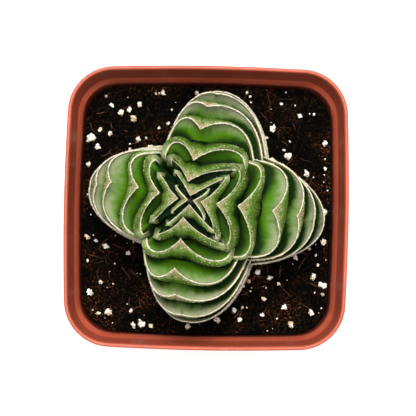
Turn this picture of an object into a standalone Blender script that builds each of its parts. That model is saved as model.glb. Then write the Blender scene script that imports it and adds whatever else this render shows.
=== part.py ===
"""A potted crassula: a square plastic nursery pot, soil with perlite, and a stacked, four-armed leafy plant.

Units are metres, +Z is up, and the origin lies at the centre of the pot's foot. The leaves stand in crossed
pairs on one leaning stem. Level 1 is the youngest pair at the top, and the last level lies near the soil.
"""

import math
import random

import bmesh
import bpy
from mathutils import Matrix, Vector, noise

MM = 0.001
SEED = 7
GAP = 0.3 * MM  # between pieces that touch on the real plant

# Pot: outer half widths, heights and corner radii
RIM_HALF = 32.0 * MM
RIM_CORNER = 10.6 * MM
POT_HEIGHT = 57.0 * MM
FOOT_HALF = 22.5 * MM
FOOT_CORNER = 8.0 * MM
COLLAR_HEIGHT = 7.0 * MM  # the straight band below the rim
COLLAR_STEP = 0.8 * MM  # how far the band stands out from the body
COLLAR_TAPER = 1.1 * MM
LIP_WIDTH = 0.8 * MM
LIP_HEIGHT = 0.9 * MM
LIP_BEAD = 0.25 * MM  # the lip's rounding
WALL = 1.0 * MM
SIDE_BOW = 0.5 * MM  # each side swells this far at its middle
FOOT_RING = 1.5 * MM  # the floor panel is raised by this much
FLOOR = 1.2 * MM
DRAIN_RADIUS = 3.0 * MM
DRAIN_OFFSET = 12.0 * MM
DRILL_SIDES = 20
CORNER_STEPS = 6
SIDE_STEPS = 3  # along the straight of each side

# Soil and perlite
SOIL_TOP = POT_HEIGHT - 10.0 * MM
SOIL_RELIEF = 0.5 * MM
SOIL_WAVE = 6.0 * MM  # the size of its hummocks
SOIL_GRID = 14
STEM_HOLE_DEPTH = 7.6 * MM
STEM_HOLE_RADIUS = 2.9 * MM
# Perlite grains in millimetres: place from the pot's centre and radius, in rows from the back to the front
LARGE_GRAINS = [
    (-23.7, 26.0, 0.4), (-10.5, 27.0, 0.65), (-2.6, 27.1, 0.6), (9.0, 27.4, 0.35), (17.0, 24.9, 0.35),
    (-22.4, 23.9, 0.55), (-20.2, 22.3, 0.7), (-18.2, 23.0, 0.55), (-15.9, 24.2, 0.75), (-17.3, 20.9, 0.7),
    (-8.4, 23.1, 0.3), (21.3, 22.2, 0.5), (24.6, 22.6, 0.4), (-9.2, 19.9, 0.5), (-11.3, 18.8, 0.4),
    (15.1, 19.1, 0.85), (13.6, 17.0, 0.45), (-27.1, 16.3, 0.95), (-25.5, 14.2, 0.75), (-22.6, 17.4, 0.65),
    (-25.0, 18.3, 0.5), (-16.1, 16.1, 0.6), (-13.4, 14.4, 0.5), (-17.9, 13.6, 0.45), (27.3, 15.9, 0.65),
    (18.8, 12.8, 0.8), (15.2, 11.9, 0.6), (-27.4, 10.1, 0.6), (23.1, 8.8, 0.75), (27.5, 10.0, 0.5),
    (27.5, -0.1, 0.55), (-21.5, -3.3, 0.35), (27.2, -6.9, 0.8), (-27.4, -6.7, 0.6), (-25.4, -7.6, 0.45),
    (-23.2, -8.8, 0.7), (24.0, -8.7, 0.4), (-17.9, -10.3, 0.55), (20.8, -10.7, 0.65), (26.0, -12.3, 0.35),
    (-13.9, -12.8, 0.4), (12.1, -14.1, 0.8), (14.9, -15.5, 0.7), (10.1, -16.4, 0.55), (17.0, -16.8, 0.4),
    (25.0, -15.2, 0.65), (27.2, -17.0, 0.75), (-24.2, -17.1, 0.5), (-26.6, -19.5, 0.7), (27.2, -19.1, 0.45),
    (13.7, -20.4, 0.5), (18.4, -22.2, 0.7), (6.9, -23.1, 0.5), (8.7, -22.5, 0.35), (13.4, -24.1, 0.5),
    (-17.0, -23.7, 0.5), (-22.2, -24.0, 0.85), (24.6, -23.4, 0.7), (-24.6, -24.4, 0.5), (8.2, -25.3, 0.6),
    (2.9, -25.4, 0.85), (20.0, -26.2, 0.95), (-14.4, -26.7, 0.85), (-12.4, -27.1, 0.6), (-16.4, -27.0, 0.7),
    (-3.8, -27.1, 0.8),
]
SMALL_GRAINS = 24
SMALL_RADIUS = (0.22 * MM, 0.4 * MM)
GRAIN_FLATNESS = (0.65, 1.0)
GRAIN_SINK = 0.25  # of the radius, how far a grain's middle lies under the surface
GRAINS_CLEAR = 0.25 * MM  # between grains
GRAINS_FROM_STEM = 10.0 * MM
GRAINS_FROM_WALL = 0.35 * MM

# Stem and leaf levels
LEVELS = 16
LOWEST_LEAF = SOIL_TOP + 3.6 * MM
FIRST_SPACING = 1.1 * MM  # between the two youngest levels
SPACING_GROWTH = 0.08 * MM  # added to the spacing at each level downwards
STEM_RADIUS = (0.9 * MM, 2.3 * MM)  # at the apex and in the soil
STEM_ROOT = SOIL_TOP - STEM_HOLE_DEPTH + GAP
STEM_POINTS = 12
APEX = Vector((-3.3, 0.4)) * MM  # where the stem ends, seen from above
LEAN = 4.2 * MM  # how far the apex leans to the left of the foot
# The stem's slight bends: how far to the right and back, where along it, and over what part of it
BENDS = [(Vector((-1.2, 0.0)) * MM, 0.7, 0.22), (Vector((0.0, 1.0)) * MM, 0.57, 0.24)]
ARM_TURN = math.radians(-8.0)  # the cross is turned clockwise, seen from above

# Leaf outlines by level, youngest first, in millimetres from the stem's centre line
TIP_REACH = [0.5, 0.9, 2.4, 3.9, 6.2, 8.5, 11.1, 15.2, 18.1, 20.7, 22.5, 24.5, 25.3, 25.7, 26.6, 25.4]
LOBE_LEAD = [1.2, 1.8, 2.7, 3.3, 3.9, 4.4, 3.7, 4.0, 3.0, 1.9, 1.8, 0.9, 0.6, 0.5, 0.4, 0.3]
SHOULDER_REACH = [2.8, 4.3, 6.1, 7.9, 10.9, 13.6, 16.6, 18.6, 20.9, 21.2, 22.2, 22.0, 22.0, 21.8, 21.6, 21.0]
SHOULDER_SPREAD = [0.54, 0.63, 0.72, 0.78, 0.88, 0.92, 1.0, 0.87, 1.0, 0.87, 0.9, 0.86, 0.86, 0.86, 0.87, 0.86]
HALF_WIDTH = [3.2, 5.2, 6.5, 7.6, 8.7, 9.5, 10.1, 10.8, 11.3, 11.6, 11.8, 11.9, 11.9, 11.9, 11.8, 11.8]
RISE = [2.5, 2.8, 3.1, 3.5, 3.9, 4.3, 4.7, 5.1, 5.4, 5.5, 5.5, 5.4, 5.2, 5.0, 4.8, 4.6]
TIP_LEAN = [0.5, 1.7, 2.6, 3.5, 3.7, 3.0, 3.8, 1.6, 2.0, 0.6, 0.8, 0.2, 0.1, 0.0, 0.0, 0.0]
LOBE_LEAN = [0.5, 0.8, 1.0, 1.2, 1.3, 0.6, 0.5, 0.2, 0.2, 0.0, 0.0, 0.0, 0.0, 0.0, 0.0, 0.0]

# Each skew below has a value for the younger levels and one for the oldest, and the levels where it changes
SIDE_SKEW = (0.2, 0.0, 10, 16)  # leaves of the front and back are longer on the plant's right
FRONT_SKEW = (0.07, -0.06, 5, 15)  # and those of the two sides on its front
ARM_FULLNESS = (0.07, 0.0, 9, 15)  # the right arm's leaves are fuller than the left arm's
ARM_WIDTH = (0.05, 0.0, 9, 15)
LOBE_SPREAD = 0.36  # of the half width, the lobes' control points
FRONT_REACH = (0.0, 0.8, 4, 9)  # in millimetres, how much further the front arm's leaves reach
# How far single tips stand beside their leaf's midline, counter-clockwise, in millimetres, by level and arm
TIP_SHIFTS = {
    (4, 90): 0.7, (4, 270): -0.5, (5, 180): -0.5, (6, 270): -0.1, (7, 180): -0.7, (8, 270): -0.8, (9, 180): -0.7,
    (10, 90): 0.5, (10, 270): -0.8,
}
# How much narrower single flanks are, in millimetres, by level, arm and side, 1 being the counter-clockwise one
SHORT_FLANKS = {
    (3, 180, 1): 1.0, (3, 180, -1): 1.0, (4, 90, 1): 1.0, (4, 270, -1): 0.6, (5, 0, -1): 1.2, (6, 90, 1): 1.3,
    (8, 90, 1): 1.4, (9, 0, 1): 0.8, (9, 0, -1): 1.3, (9, 180, -1): 0.5, (10, 90, 1): 1.0, (11, 0, -1): 0.9,
    (11, 180, -1): 0.6, (12, 90, 1): 0.6, (13, 180, -1): 0.4,
}
CORNER_AT = 5 / 6  # along the margin, where it dives below the crossed leaf above
CORNER_REACH = 1.08  # of the half width, in young leaves
CORNER_TUCK = 0.9  # of the crossed leaf's half width above, so that an old leaf's corner lies under that leaf
CORNER_SLIDE = (0.0, 1.0, 4, 9)  # from the one place to the other
CORNER_RISE = (0.4, 0.035, 0.07)  # of the tip's rise: at the top of the plant, lost by each level, and least
TIP_LIFT = 0.12  # of the rise, added at the very tip
TIP_LIFT_SPAN = 0.12  # of the way from the tip to the stem
TIP_LEAN_SPAN = 0.22
HEEL_SPREAD = 0.9  # of the margin's own distance from the midline, where a leaf turns upwards
BASE_ANGLE = math.radians(62.0)  # half the angle that a leaf's base takes round the stem
BASE_FLANK = 1.1 * MM
LEAST_BELLY = 0.1 * MM
LEAF_THICKNESS = 0.62  # of the spacing below the level
MARGIN_THICKNESS = 0.6 * MM
ARM_NAMES = (("right", 0.0), ("back", 90.0), ("left", 180.0), ("front", 270.0))
ACROSS_STEPS = 12
ALONG_STEPS = 4


def material(name, colour, roughness):
    made = bpy.data.materials.new(name)
    made.use_nodes = True
    shader = made.node_tree.nodes["Principled BSDF"]
    shader.inputs["Base Color"].default_value = (*colour, 1.0)
    shader.inputs["Roughness"].default_value = roughness
    shader.inputs["Metallic"].default_value = 0.0
    return made


def add_object(name, mesh, collection, parent, finish=None):
    piece = bpy.data.objects.new(name, mesh)
    collection.objects.link(piece)
    piece.parent = parent
    if finish:
        mesh.materials.append(finish)
    return piece


def mesh_from(bm, name):
    bmesh.ops.recalc_face_normals(bm, faces=bm.faces)
    mesh = bpy.data.meshes.new(name)
    bm.to_mesh(mesh)
    bm.free()
    return mesh


def square_ring(half, corner, height):
    """Points round a square with round corners and slightly bowed sides, counter-clockwise from above."""
    points = []
    for quarter in range(4):
        turn = Matrix.Rotation(quarter * math.pi / 2, 2)
        centre = half - corner
        for step in range(CORNER_STEPS + 1):
            angle = step / CORNER_STEPS * math.pi / 2
            points.append(turn @ Vector((centre + corner * math.cos(angle), centre + corner * math.sin(angle))))
        for step in range(1, SIDE_STEPS):
            across = centre * (1 - 2 * step / SIDE_STEPS)
            bow = SIDE_BOW * math.cos(across / centre * math.pi / 2)
            points.append(turn @ Vector((across, half + bow)))
    return [Vector((point.x, point.y, height)) for point in points]


def loft(bm, rings):
    """Skins a stack of rings with the same number of points. The first and last are left open."""
    rows = [[bm.verts.new(point) for point in ring] for ring in rings]
    for lower, upper in zip(rows, rows[1:]):
        for index in range(len(lower)):
            after = (index + 1) % len(lower)
            bm.faces.new((lower[index], lower[after], upper[after], upper[index]))
    return rows


def body_half(height):
    """The body's outer half width at a height, below the collar."""
    top = POT_HEIGHT - COLLAR_HEIGHT
    widest = RIM_HALF - COLLAR_TAPER - COLLAR_STEP
    return FOOT_HALF + (widest - FOOT_HALF) * height / top


def body_corner(height):
    return FOOT_CORNER + (RIM_CORNER - COLLAR_STEP - FOOT_CORNER) * height / POT_HEIGHT


def inner_ring(height, clearance=0.0):
    """The inside of the body wall at a height, or a ring that stays clear of it."""
    inset = WALL + clearance
    return square_ring(body_half(height) - inset, body_corner(height) - inset, height)


def pot_mesh():
    collar_foot = POT_HEIGHT - COLLAR_HEIGHT
    lip_foot = POT_HEIGHT - LIP_HEIGHT
    collar_half = RIM_HALF - COLLAR_TAPER
    outside = [
        square_ring(FOOT_HALF - WALL, FOOT_CORNER - WALL, 0.0),
        square_ring(FOOT_HALF, FOOT_CORNER, 0.0),
        square_ring(body_half(collar_foot / 2), body_corner(collar_foot / 2), collar_foot / 2),
        square_ring(body_half(collar_foot), body_corner(collar_foot), collar_foot),
        square_ring(collar_half, RIM_CORNER - COLLAR_TAPER / 2, collar_foot + COLLAR_STEP / 2),
        square_ring(RIM_HALF - 3 * LIP_BEAD, RIM_CORNER - 3 * LIP_BEAD, lip_foot),
        square_ring(RIM_HALF - LIP_BEAD, RIM_CORNER - LIP_BEAD, lip_foot + LIP_BEAD),
        square_ring(RIM_HALF, RIM_CORNER, POT_HEIGHT - 2 * LIP_BEAD),
        square_ring(RIM_HALF - LIP_BEAD, RIM_CORNER - LIP_BEAD, POT_HEIGHT),
    ]
    inner_rim = RIM_HALF - LIP_WIDTH
    inner_collar = collar_half - WALL
    step_corner = RIM_CORNER - COLLAR_TAPER - WALL
    floor_top = FOOT_RING + FLOOR
    inside = [
        square_ring(inner_rim, RIM_CORNER - LIP_WIDTH, POT_HEIGHT - LIP_BEAD / 2),
        square_ring(inner_rim - LIP_BEAD, RIM_CORNER - LIP_WIDTH - LIP_BEAD, lip_foot),
        square_ring(inner_collar, step_corner, collar_foot + COLLAR_STEP),
        inner_ring(collar_foot),
        inner_ring(SOIL_TOP),
        inner_ring(collar_foot / 2),
        inner_ring(floor_top),
    ]
    bm = bmesh.new()
    rows = loft(bm, outside + inside)
    bm.faces.new(rows[-1])
    panel_ring = square_ring(FOOT_HALF - WALL, FOOT_CORNER - WALL, FOOT_RING)
    panel = [bm.verts.new(point) for point in panel_ring]
    for index in range(len(panel)):
        after = (index + 1) % len(panel)
        bm.faces.new((panel[index], panel[after], rows[0][after], rows[0][index]))
    bm.faces.new(list(reversed(panel)))
    return mesh_from(bm, "pot")


def drill(piece, collection, name, radius, place, depth):
    """Cuts a round hole, upright, centred on a place."""
    bm = bmesh.new()
    bmesh.ops.create_cone(
        bm, cap_ends=True, segments=DRILL_SIDES, radius1=radius, radius2=radius, depth=depth,
        matrix=Matrix.Translation(place),
    )
    cutter = add_object(name, mesh_from(bm, name), collection, None)
    cutter.hide_render = True
    cutter.display_type = "WIRE"
    cut = piece.modifiers.new(name, "BOOLEAN")
    cut.operation = "DIFFERENCE"
    cut.object = cutter


def make_pot(parts, cutters, parent):
    pot = add_object("pot", pot_mesh(), parts, parent, material("terracotta_plastic", (0.62, 0.16, 0.09), 0.45))
    pot.data.shade_smooth()
    pot.data.set_sharp_from_angle(angle=math.radians(35))
    places = [(0.0, 0.0)]
    places += [(x * DRAIN_OFFSET, y * DRAIN_OFFSET) for x in (-1, 1) for y in (-1, 1)]
    for index, (x, y) in enumerate(places):
        drill(pot, cutters, f"drain_{index}", DRAIN_RADIUS, Vector((x, y, FOOT_RING)), 4 * FLOOR)


def ring_reach(ring, direction):
    """How far a ring of points lies from its middle in a direction."""
    for first, second in zip(ring, ring[1:] + ring[:1]):
        edge = second - first
        across = edge.x * direction.y - edge.y * direction.x
        if abs(across) < 1e-12:
            continue
        along = (first.y * direction.x - first.x * direction.y) / across
        crossing = first + edge * along
        if -1e-6 <= along <= 1 + 1e-6 and crossing.x * direction.x + crossing.y * direction.y > 0:
            return math.hypot(crossing.x, crossing.y)
    return 0.0


def soil_height(x, y):
    place = Vector((x, y, 0.0)) / SOIL_WAVE
    return SOIL_TOP + SOIL_RELIEF * noise.noise(place)


def soil_mesh():
    """A grid drawn out to the pot's round-cornered inside, with sides down to the floor."""
    bm = bmesh.new()
    bmesh.ops.create_grid(bm, x_segments=SOIL_GRID, y_segments=SOIL_GRID, size=1.0)
    rim = [vert for vert in bm.verts if vert.is_boundary]
    directions = {vert: Vector((vert.co.x, vert.co.y)).normalized() for vert in rim}
    surface = inner_ring(SOIL_TOP, GAP)
    for vert in bm.verts:
        part = max(abs(vert.co.x), abs(vert.co.y))
        if part:
            direction = Vector((vert.co.x, vert.co.y)).normalized()
            vert.co = (direction * part * ring_reach(surface, direction)).to_3d()
        vert.co.z = SOIL_TOP if part == 1.0 else soil_height(vert.co.x, vert.co.y)
    edges = [edge for edge in bm.edges if edge.is_boundary]
    for height in ((POT_HEIGHT - COLLAR_HEIGHT) / 2, FOOT_RING + FLOOR + GAP):
        ring = inner_ring(height, GAP)
        made = bmesh.ops.extrude_edge_only(bm, edges=edges)["geom"]
        edges = [item for item in made if isinstance(item, bmesh.types.BMEdge) and item.is_boundary]
        for vert in {vert for edge in edges for vert in edge.verts}:
            direction = Vector((vert.co.x, vert.co.y)).normalized()
            vert.co = (direction * ring_reach(ring, direction)).to_3d()
            vert.co.z = height
    bmesh.ops.contextual_create(bm, geom=edges)
    return mesh_from(bm, "soil")


def small_grains(rng):
    """Fine grains at random places, clear of the stem, the wall and the grains already there."""
    grains = list(LARGE_GRAINS)
    surface = inner_ring(SOIL_TOP, GAP)
    half = body_half(SOIL_TOP) / MM
    while len(grains) < len(LARGE_GRAINS) + SMALL_GRAINS:
        x, y = rng.uniform(-half, half), rng.uniform(-half, half)
        radius = rng.uniform(*SMALL_RADIUS) / MM
        place = Vector((x, y))
        edge = ring_reach(surface, place.normalized()) - (radius * MM + GRAINS_FROM_WALL)
        clear = all(math.hypot(x - a, y - b) > radius + c + GRAINS_CLEAR / MM for a, b, c in grains)
        if clear and GRAINS_FROM_STEM < place.length * MM < edge:
            grains.append((x, y, radius))
    return grains


def make_soil(parts, cutters, parent):
    """The soil with its grains joined to it, and a plain hole for the stem."""
    rng = random.Random(SEED)
    soil = add_object("soil", soil_mesh(), parts, parent, material("dark_peat", (0.02, 0.012, 0.008), 0.95))
    grains = bpy.data.collections.new("grains")
    for index, (x, y, radius) in enumerate(small_grains(rng)):
        bm = bmesh.new()
        bmesh.ops.create_icosphere(bm, subdivisions=1, radius=radius * MM)
        squash = Matrix.Diagonal([rng.uniform(*GRAIN_FLATNESS) for _ in range(3)]).to_4x4()
        turn = Matrix.Rotation(rng.uniform(0, math.tau), 4, Vector([rng.gauss(0, 1) for _ in range(3)]))
        height = soil_height(x * MM, y * MM) - GRAIN_SINK * radius * MM
        bm.transform(Matrix.Translation((x * MM, y * MM, height)) @ turn @ squash)
        name = f"grain_{index:03d}"
        grains.objects.link(bpy.data.objects.new(name, mesh_from(bm, name)))
    join = soil.modifiers.new("grains", "BOOLEAN")
    join.operation = "UNION"
    join.operand_type = "COLLECTION"
    join.collection = grains
    graph = bpy.context.evaluated_depsgraph_get()
    joined = bpy.data.meshes.new_from_object(soil.evaluated_get(graph))
    soil.modifiers.remove(join)
    soil.data = joined
    for grain in list(grains.objects):
        bpy.data.objects.remove(grain)
    foot = axis_at(SOIL_TOP - STEM_HOLE_DEPTH)
    hole = Vector((foot.x, foot.y, SOIL_TOP))
    drill(soil, cutters, "stem_hole", STEM_HOLE_RADIUS, hole, 2 * STEM_HOLE_DEPTH)


def axis_at(height):
    """The stem's centre line seen from above: it leans, most of all near the soil, and bends a little."""
    part = (height - LOWEST_LEAF) / (apex_height() - LOWEST_LEAF)
    part = min(max(part, 0.0), 1.0)
    place = APEX + Vector((LEAN * (1 - part) ** 2, 0.0))
    for bend, at, span in BENDS:
        place += bend * math.exp(-(((part - at) / span) ** 2))
    return place


def apex_height():
    return level_height(1)


def level_height(level):
    """Where a level's leaves join the stem. The spacing grows towards the soil."""
    below = range(level, LEVELS)
    return LOWEST_LEAF + sum(spacing(upper) for upper in below)


def spacing(level):
    return FIRST_SPACING + SPACING_GROWTH * (level - 1)


def stem_radius(height):
    part = (height - SOIL_TOP) / (apex_height() - SOIL_TOP)
    part = min(max(part, 0.0), 1.0)
    return STEM_RADIUS[1] + (STEM_RADIUS[0] - STEM_RADIUS[1]) * part


def make_stem(parts, parent):
    curve = bpy.data.curves.new("stem", "CURVE")
    curve.dimensions = "3D"
    curve.bevel_depth = 1.0
    curve.bevel_resolution = 3
    curve.use_fill_caps = True
    curve.resolution_u = 1
    spline = curve.splines.new("POLY")
    spline.points.add(STEM_POINTS - 1)
    for index, point in enumerate(spline.points):
        height = STEM_ROOT + (apex_height() - STEM_ROOT) * index / (STEM_POINTS - 1)
        centre = axis_at(height)
        point.co = (centre.x, centre.y, height, 1.0)
        point.radius = stem_radius(height)
    add_object("stem", curve, parts, parent, material("green_stem", (0.20, 0.30, 0.10), 0.6))


def bezier(points, part):
    """A Bezier curve's point, by repeated mixing."""
    while len(points) > 1:
        points = [a.lerp(b, part) for a, b in zip(points, points[1:])]
    return points[0]


def by_level(change, level):
    """A skew at a level, between its first value and its last."""
    young, old, first, last = change
    part = min(max((level - first) / (last - first), 0.0), 1.0)
    return young + (old - young) * part


def arm_degrees(arm_angle):
    """An arm's direction as a whole number of degrees from 0 to 270."""
    return round(math.degrees(arm_angle)) % 360


def flank_width(level, side, arm_angle):
    """The half width on one side of a leaf."""
    across = arm_angle + side * math.pi / 2
    skew = by_level(SIDE_SKEW, level) * math.cos(across) - by_level(FRONT_SKEW, level) * math.sin(across)
    skew += by_level(ARM_WIDTH, level) * math.cos(arm_angle)
    short = SHORT_FLANKS.get((level, arm_degrees(arm_angle), side), 0.0)
    return (HALF_WIDTH[level - 1] * (1 + skew) - short) * MM


def corner_place(level, side, arm_angle):
    """Where the margin turns back at the crossed leaf above, seen from above."""
    crossed = flank_width(max(level - 1, 1), -side, arm_angle + side * math.pi / 2)
    beside = CORNER_REACH * HALF_WIDTH[level - 1] * MM
    reach = beside + (CORNER_TUCK * crossed - beside) * by_level(CORNER_SLIDE, level)
    return Vector((reach, side * flank_width(level, side, arm_angle), 0.0))


def leaf_thickness(level):
    return max(LEAF_THICKNESS * spacing(level), MARGIN_THICKNESS)


def base_radius(level):
    """How far from the stem's centre line a leaf starts, clear of the leaning stem through its whole thickness."""
    height = level_height(level)
    foot = height - leaf_thickness(level)
    return stem_radius(foot) + (axis_at(height) - axis_at(foot)).length + GAP


def margin_plan(level, side, arm_angle, out):
    """The margin seen from above: tip, lobe and shoulder to the corner, then back to the stem."""
    index = level - 1
    longer = by_level(FRONT_REACH, level) * MM * max(0.0, -math.sin(arm_angle))
    reach = TIP_REACH[index] * MM + longer
    width = flank_width(level, side, arm_angle)
    corner = corner_place(level, side, arm_angle)
    if out <= CORNER_AT:
        fullness = by_level(ARM_FULLNESS, level) * math.cos(arm_angle)
        lead = LOBE_LEAD[index] * MM * (1 + 2 * fullness)
        shoulder_x = SHOULDER_REACH[index] * MM * (1 + fullness) + longer
        shoulder_y = SHOULDER_SPREAD[index] * width * (1 + fullness)
        tip = Vector((reach, TIP_SHIFTS.get((level, arm_degrees(arm_angle)), 0.0) * MM, 0.0))
        lobe = Vector((reach + lead, tip.y + side * LOBE_SPREAD * width, 0.0))
        shoulder = Vector((shoulder_x, side * shoulder_y, 0.0))
        return bezier([tip, lobe, shoulder, corner], out / CORNER_AT)
    end = Vector((math.cos(BASE_ANGLE), side * math.sin(BASE_ANGLE), 0.0)) * (base_radius(level) + BASE_FLANK)
    return corner.lerp(end, (out - CORNER_AT) / (1 - CORNER_AT))


def margin_rise(level, out):
    """The margin's height over the leaf's base: highest at the tip, low at the corner, none after it."""
    top, loss, least = CORNER_RISE
    corner_rise = max(least, top - loss * level)
    if out <= CORNER_AT:
        part = corner_rise + (1 - corner_rise) * (0.5 + 0.5 * math.cos(math.pi * out / CORNER_AT))
    else:
        part = corner_rise * max(0.0, 1 - 2 * (out - CORNER_AT) / (1 - CORNER_AT))
    part *= 1 + TIP_LIFT * math.exp(-((out / TIP_LIFT_SPAN) ** 2))
    return RISE[level - 1] * MM * part


def leaf_surface(level, arm_angle, across, along):
    """A point of a leaf's upper face. across runs from flank to flank, -1 to 1, and along from stem to margin."""
    side = 1 if across >= 0 else -1
    out = abs(across)  # 0 on the midline and 1 where the margin meets the stem
    index = level - 1
    base_turn = side * out * BASE_ANGLE
    base = Vector((math.cos(base_turn), math.sin(base_turn), 0.0)) * base_radius(level)
    margin = margin_plan(level, side, arm_angle, out)
    lean = LOBE_LEAN[index] + (TIP_LEAN[index] - LOBE_LEAN[index]) * math.exp(-((out / TIP_LEAN_SPAN) ** 2))
    lean *= MM * max(0.0, 1 - out / CORNER_AT)
    belly = max(margin.x - base.x + lean, LEAST_BELLY)
    heel_x = base.x + belly * (1 + math.sqrt(lean / belly))
    heel = Vector((heel_x, base.y + HEEL_SPREAD * (margin.y - base.y), 0.0))
    margin.z = margin_rise(level, out)
    return bezier([base, heel, margin], along)


def leaf_mesh(name, level, arm_angle):
    bm = bmesh.new()
    bmesh.ops.create_grid(bm, x_segments=ALONG_STEPS, y_segments=ACROSS_STEPS, size=1.0)
    for vert in bm.verts:
        vert.co = leaf_surface(level, arm_angle, vert.co.y, (vert.co.x + 1) / 2)
    mesh = bpy.data.meshes.new(name)
    bm.to_mesh(mesh)
    bm.free()
    return mesh


def make_leaf(parts, parent, level, arm, finish):
    arm_name, degrees = arm
    arm_angle = math.radians(degrees)
    name = f"leaf_{level:02d}_{arm_name}"
    leaf = add_object(name, leaf_mesh(name, level, arm_angle), parts, parent, finish)
    height = level_height(level)
    centre = axis_at(height)
    leaf.location = (centre.x, centre.y, height)
    leaf.rotation_euler = (0.0, 0.0, arm_angle + ARM_TURN)
    solid = leaf.modifiers.new("thickness", "SOLIDIFY")
    solid.thickness = leaf_thickness(level)
    solid.offset = -1.0
    leaf.data.shade_smooth()


def main():
    for old in list(bpy.data.objects):
        bpy.data.objects.remove(old)
    parts = bpy.data.collections.new("potted_crassula")
    cutters = bpy.data.collections.new("cutters")
    for collection in (parts, cutters):
        bpy.context.scene.collection.children.link(collection)
    root = bpy.data.objects.new("potted_crassula", None)
    parts.objects.link(root)
    make_pot(parts, cutters, root)
    make_soil(parts, cutters, root)
    make_stem(parts, root)
    green = material("leaf_green", (0.16, 0.33, 0.07), 0.55)
    for level in range(1, LEVELS + 1):
        first = (level - 1) % 2
        for arm in (ARM_NAMES[first], ARM_NAMES[first + 2]):
            make_leaf(parts, root, level, arm, green)


main()
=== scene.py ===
"""A potted crassula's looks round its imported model: a square nursery pot, peat with perlite, and leaves.

Units are metres, +Z is up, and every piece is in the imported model's own frame.
"""

import math
import random
from bisect import bisect

import bmesh
import bpy
from bpy.props import FloatProperty, FloatVectorProperty, IntProperty, PointerProperty
from mathutils import Matrix, Vector, noise


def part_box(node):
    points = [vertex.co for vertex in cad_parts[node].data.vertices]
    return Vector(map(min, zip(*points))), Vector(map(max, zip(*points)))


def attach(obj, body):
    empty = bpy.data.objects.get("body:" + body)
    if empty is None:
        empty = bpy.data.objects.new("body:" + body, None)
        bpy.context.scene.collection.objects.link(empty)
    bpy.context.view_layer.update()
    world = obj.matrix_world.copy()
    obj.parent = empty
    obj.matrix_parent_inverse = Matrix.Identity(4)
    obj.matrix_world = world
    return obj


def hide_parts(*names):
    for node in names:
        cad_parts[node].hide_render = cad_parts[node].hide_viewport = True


bl_info = {
    "name": "Potted Crassula",
    "version": (1, 0, 0),
    "blender": (4, 5, 0),
    "location": "View3D > Sidebar > Crassula",
    "description": "Builds a stacked, four-armed crassula in a square nursery pot",
    "category": "Add Mesh",
}

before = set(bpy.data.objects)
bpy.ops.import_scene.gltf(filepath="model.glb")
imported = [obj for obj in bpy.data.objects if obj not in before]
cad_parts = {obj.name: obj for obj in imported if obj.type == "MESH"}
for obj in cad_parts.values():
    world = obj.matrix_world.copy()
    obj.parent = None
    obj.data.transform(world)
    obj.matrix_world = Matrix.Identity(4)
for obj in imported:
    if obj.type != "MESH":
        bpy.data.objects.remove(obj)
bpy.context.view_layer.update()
POT_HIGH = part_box("pot")[1]

MM = 0.001
SEED = 7
GAP = 0.3 * MM

# Pot: outer half widths, heights and corner radii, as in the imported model
RIM_HALF = 32.0 * MM
RIM_CORNER = 10.6 * MM
POT_HEIGHT = POT_HIGH.z
FOOT_HALF = 22.5 * MM
FOOT_CORNER = 8.0 * MM
COLLAR_HEIGHT = 7.0 * MM
COLLAR_STEP = 0.8 * MM
COLLAR_TAPER = 1.1 * MM
LIP_WIDTH = 0.8 * MM
LIP_HEIGHT = 0.9 * MM
LIP_BEAD = 0.25 * MM
LIP_ROUNDING = 0.24 * MM
STEP_ROUNDING = 0.18 * MM
FOOT_ROUNDING = 0.15 * MM
WALL = 1.0 * MM
SIDE_BOW = POT_HIGH.x - RIM_HALF
FOOT_RING = 1.5 * MM
FLOOR = 1.2 * MM
DRAIN_RADIUS = 3.0 * MM
DRAIN_OFFSET = 12.0 * MM

# Soil
SOIL_TOP = POT_HEIGHT - 10.0 * MM
SOIL_RELIEF = 0.5 * MM
SOIL_WAVE = 6.0 * MM
STEM_CLEARING = 4.0 * MM  # round the middle, kept free of loose grains and fibres

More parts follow.
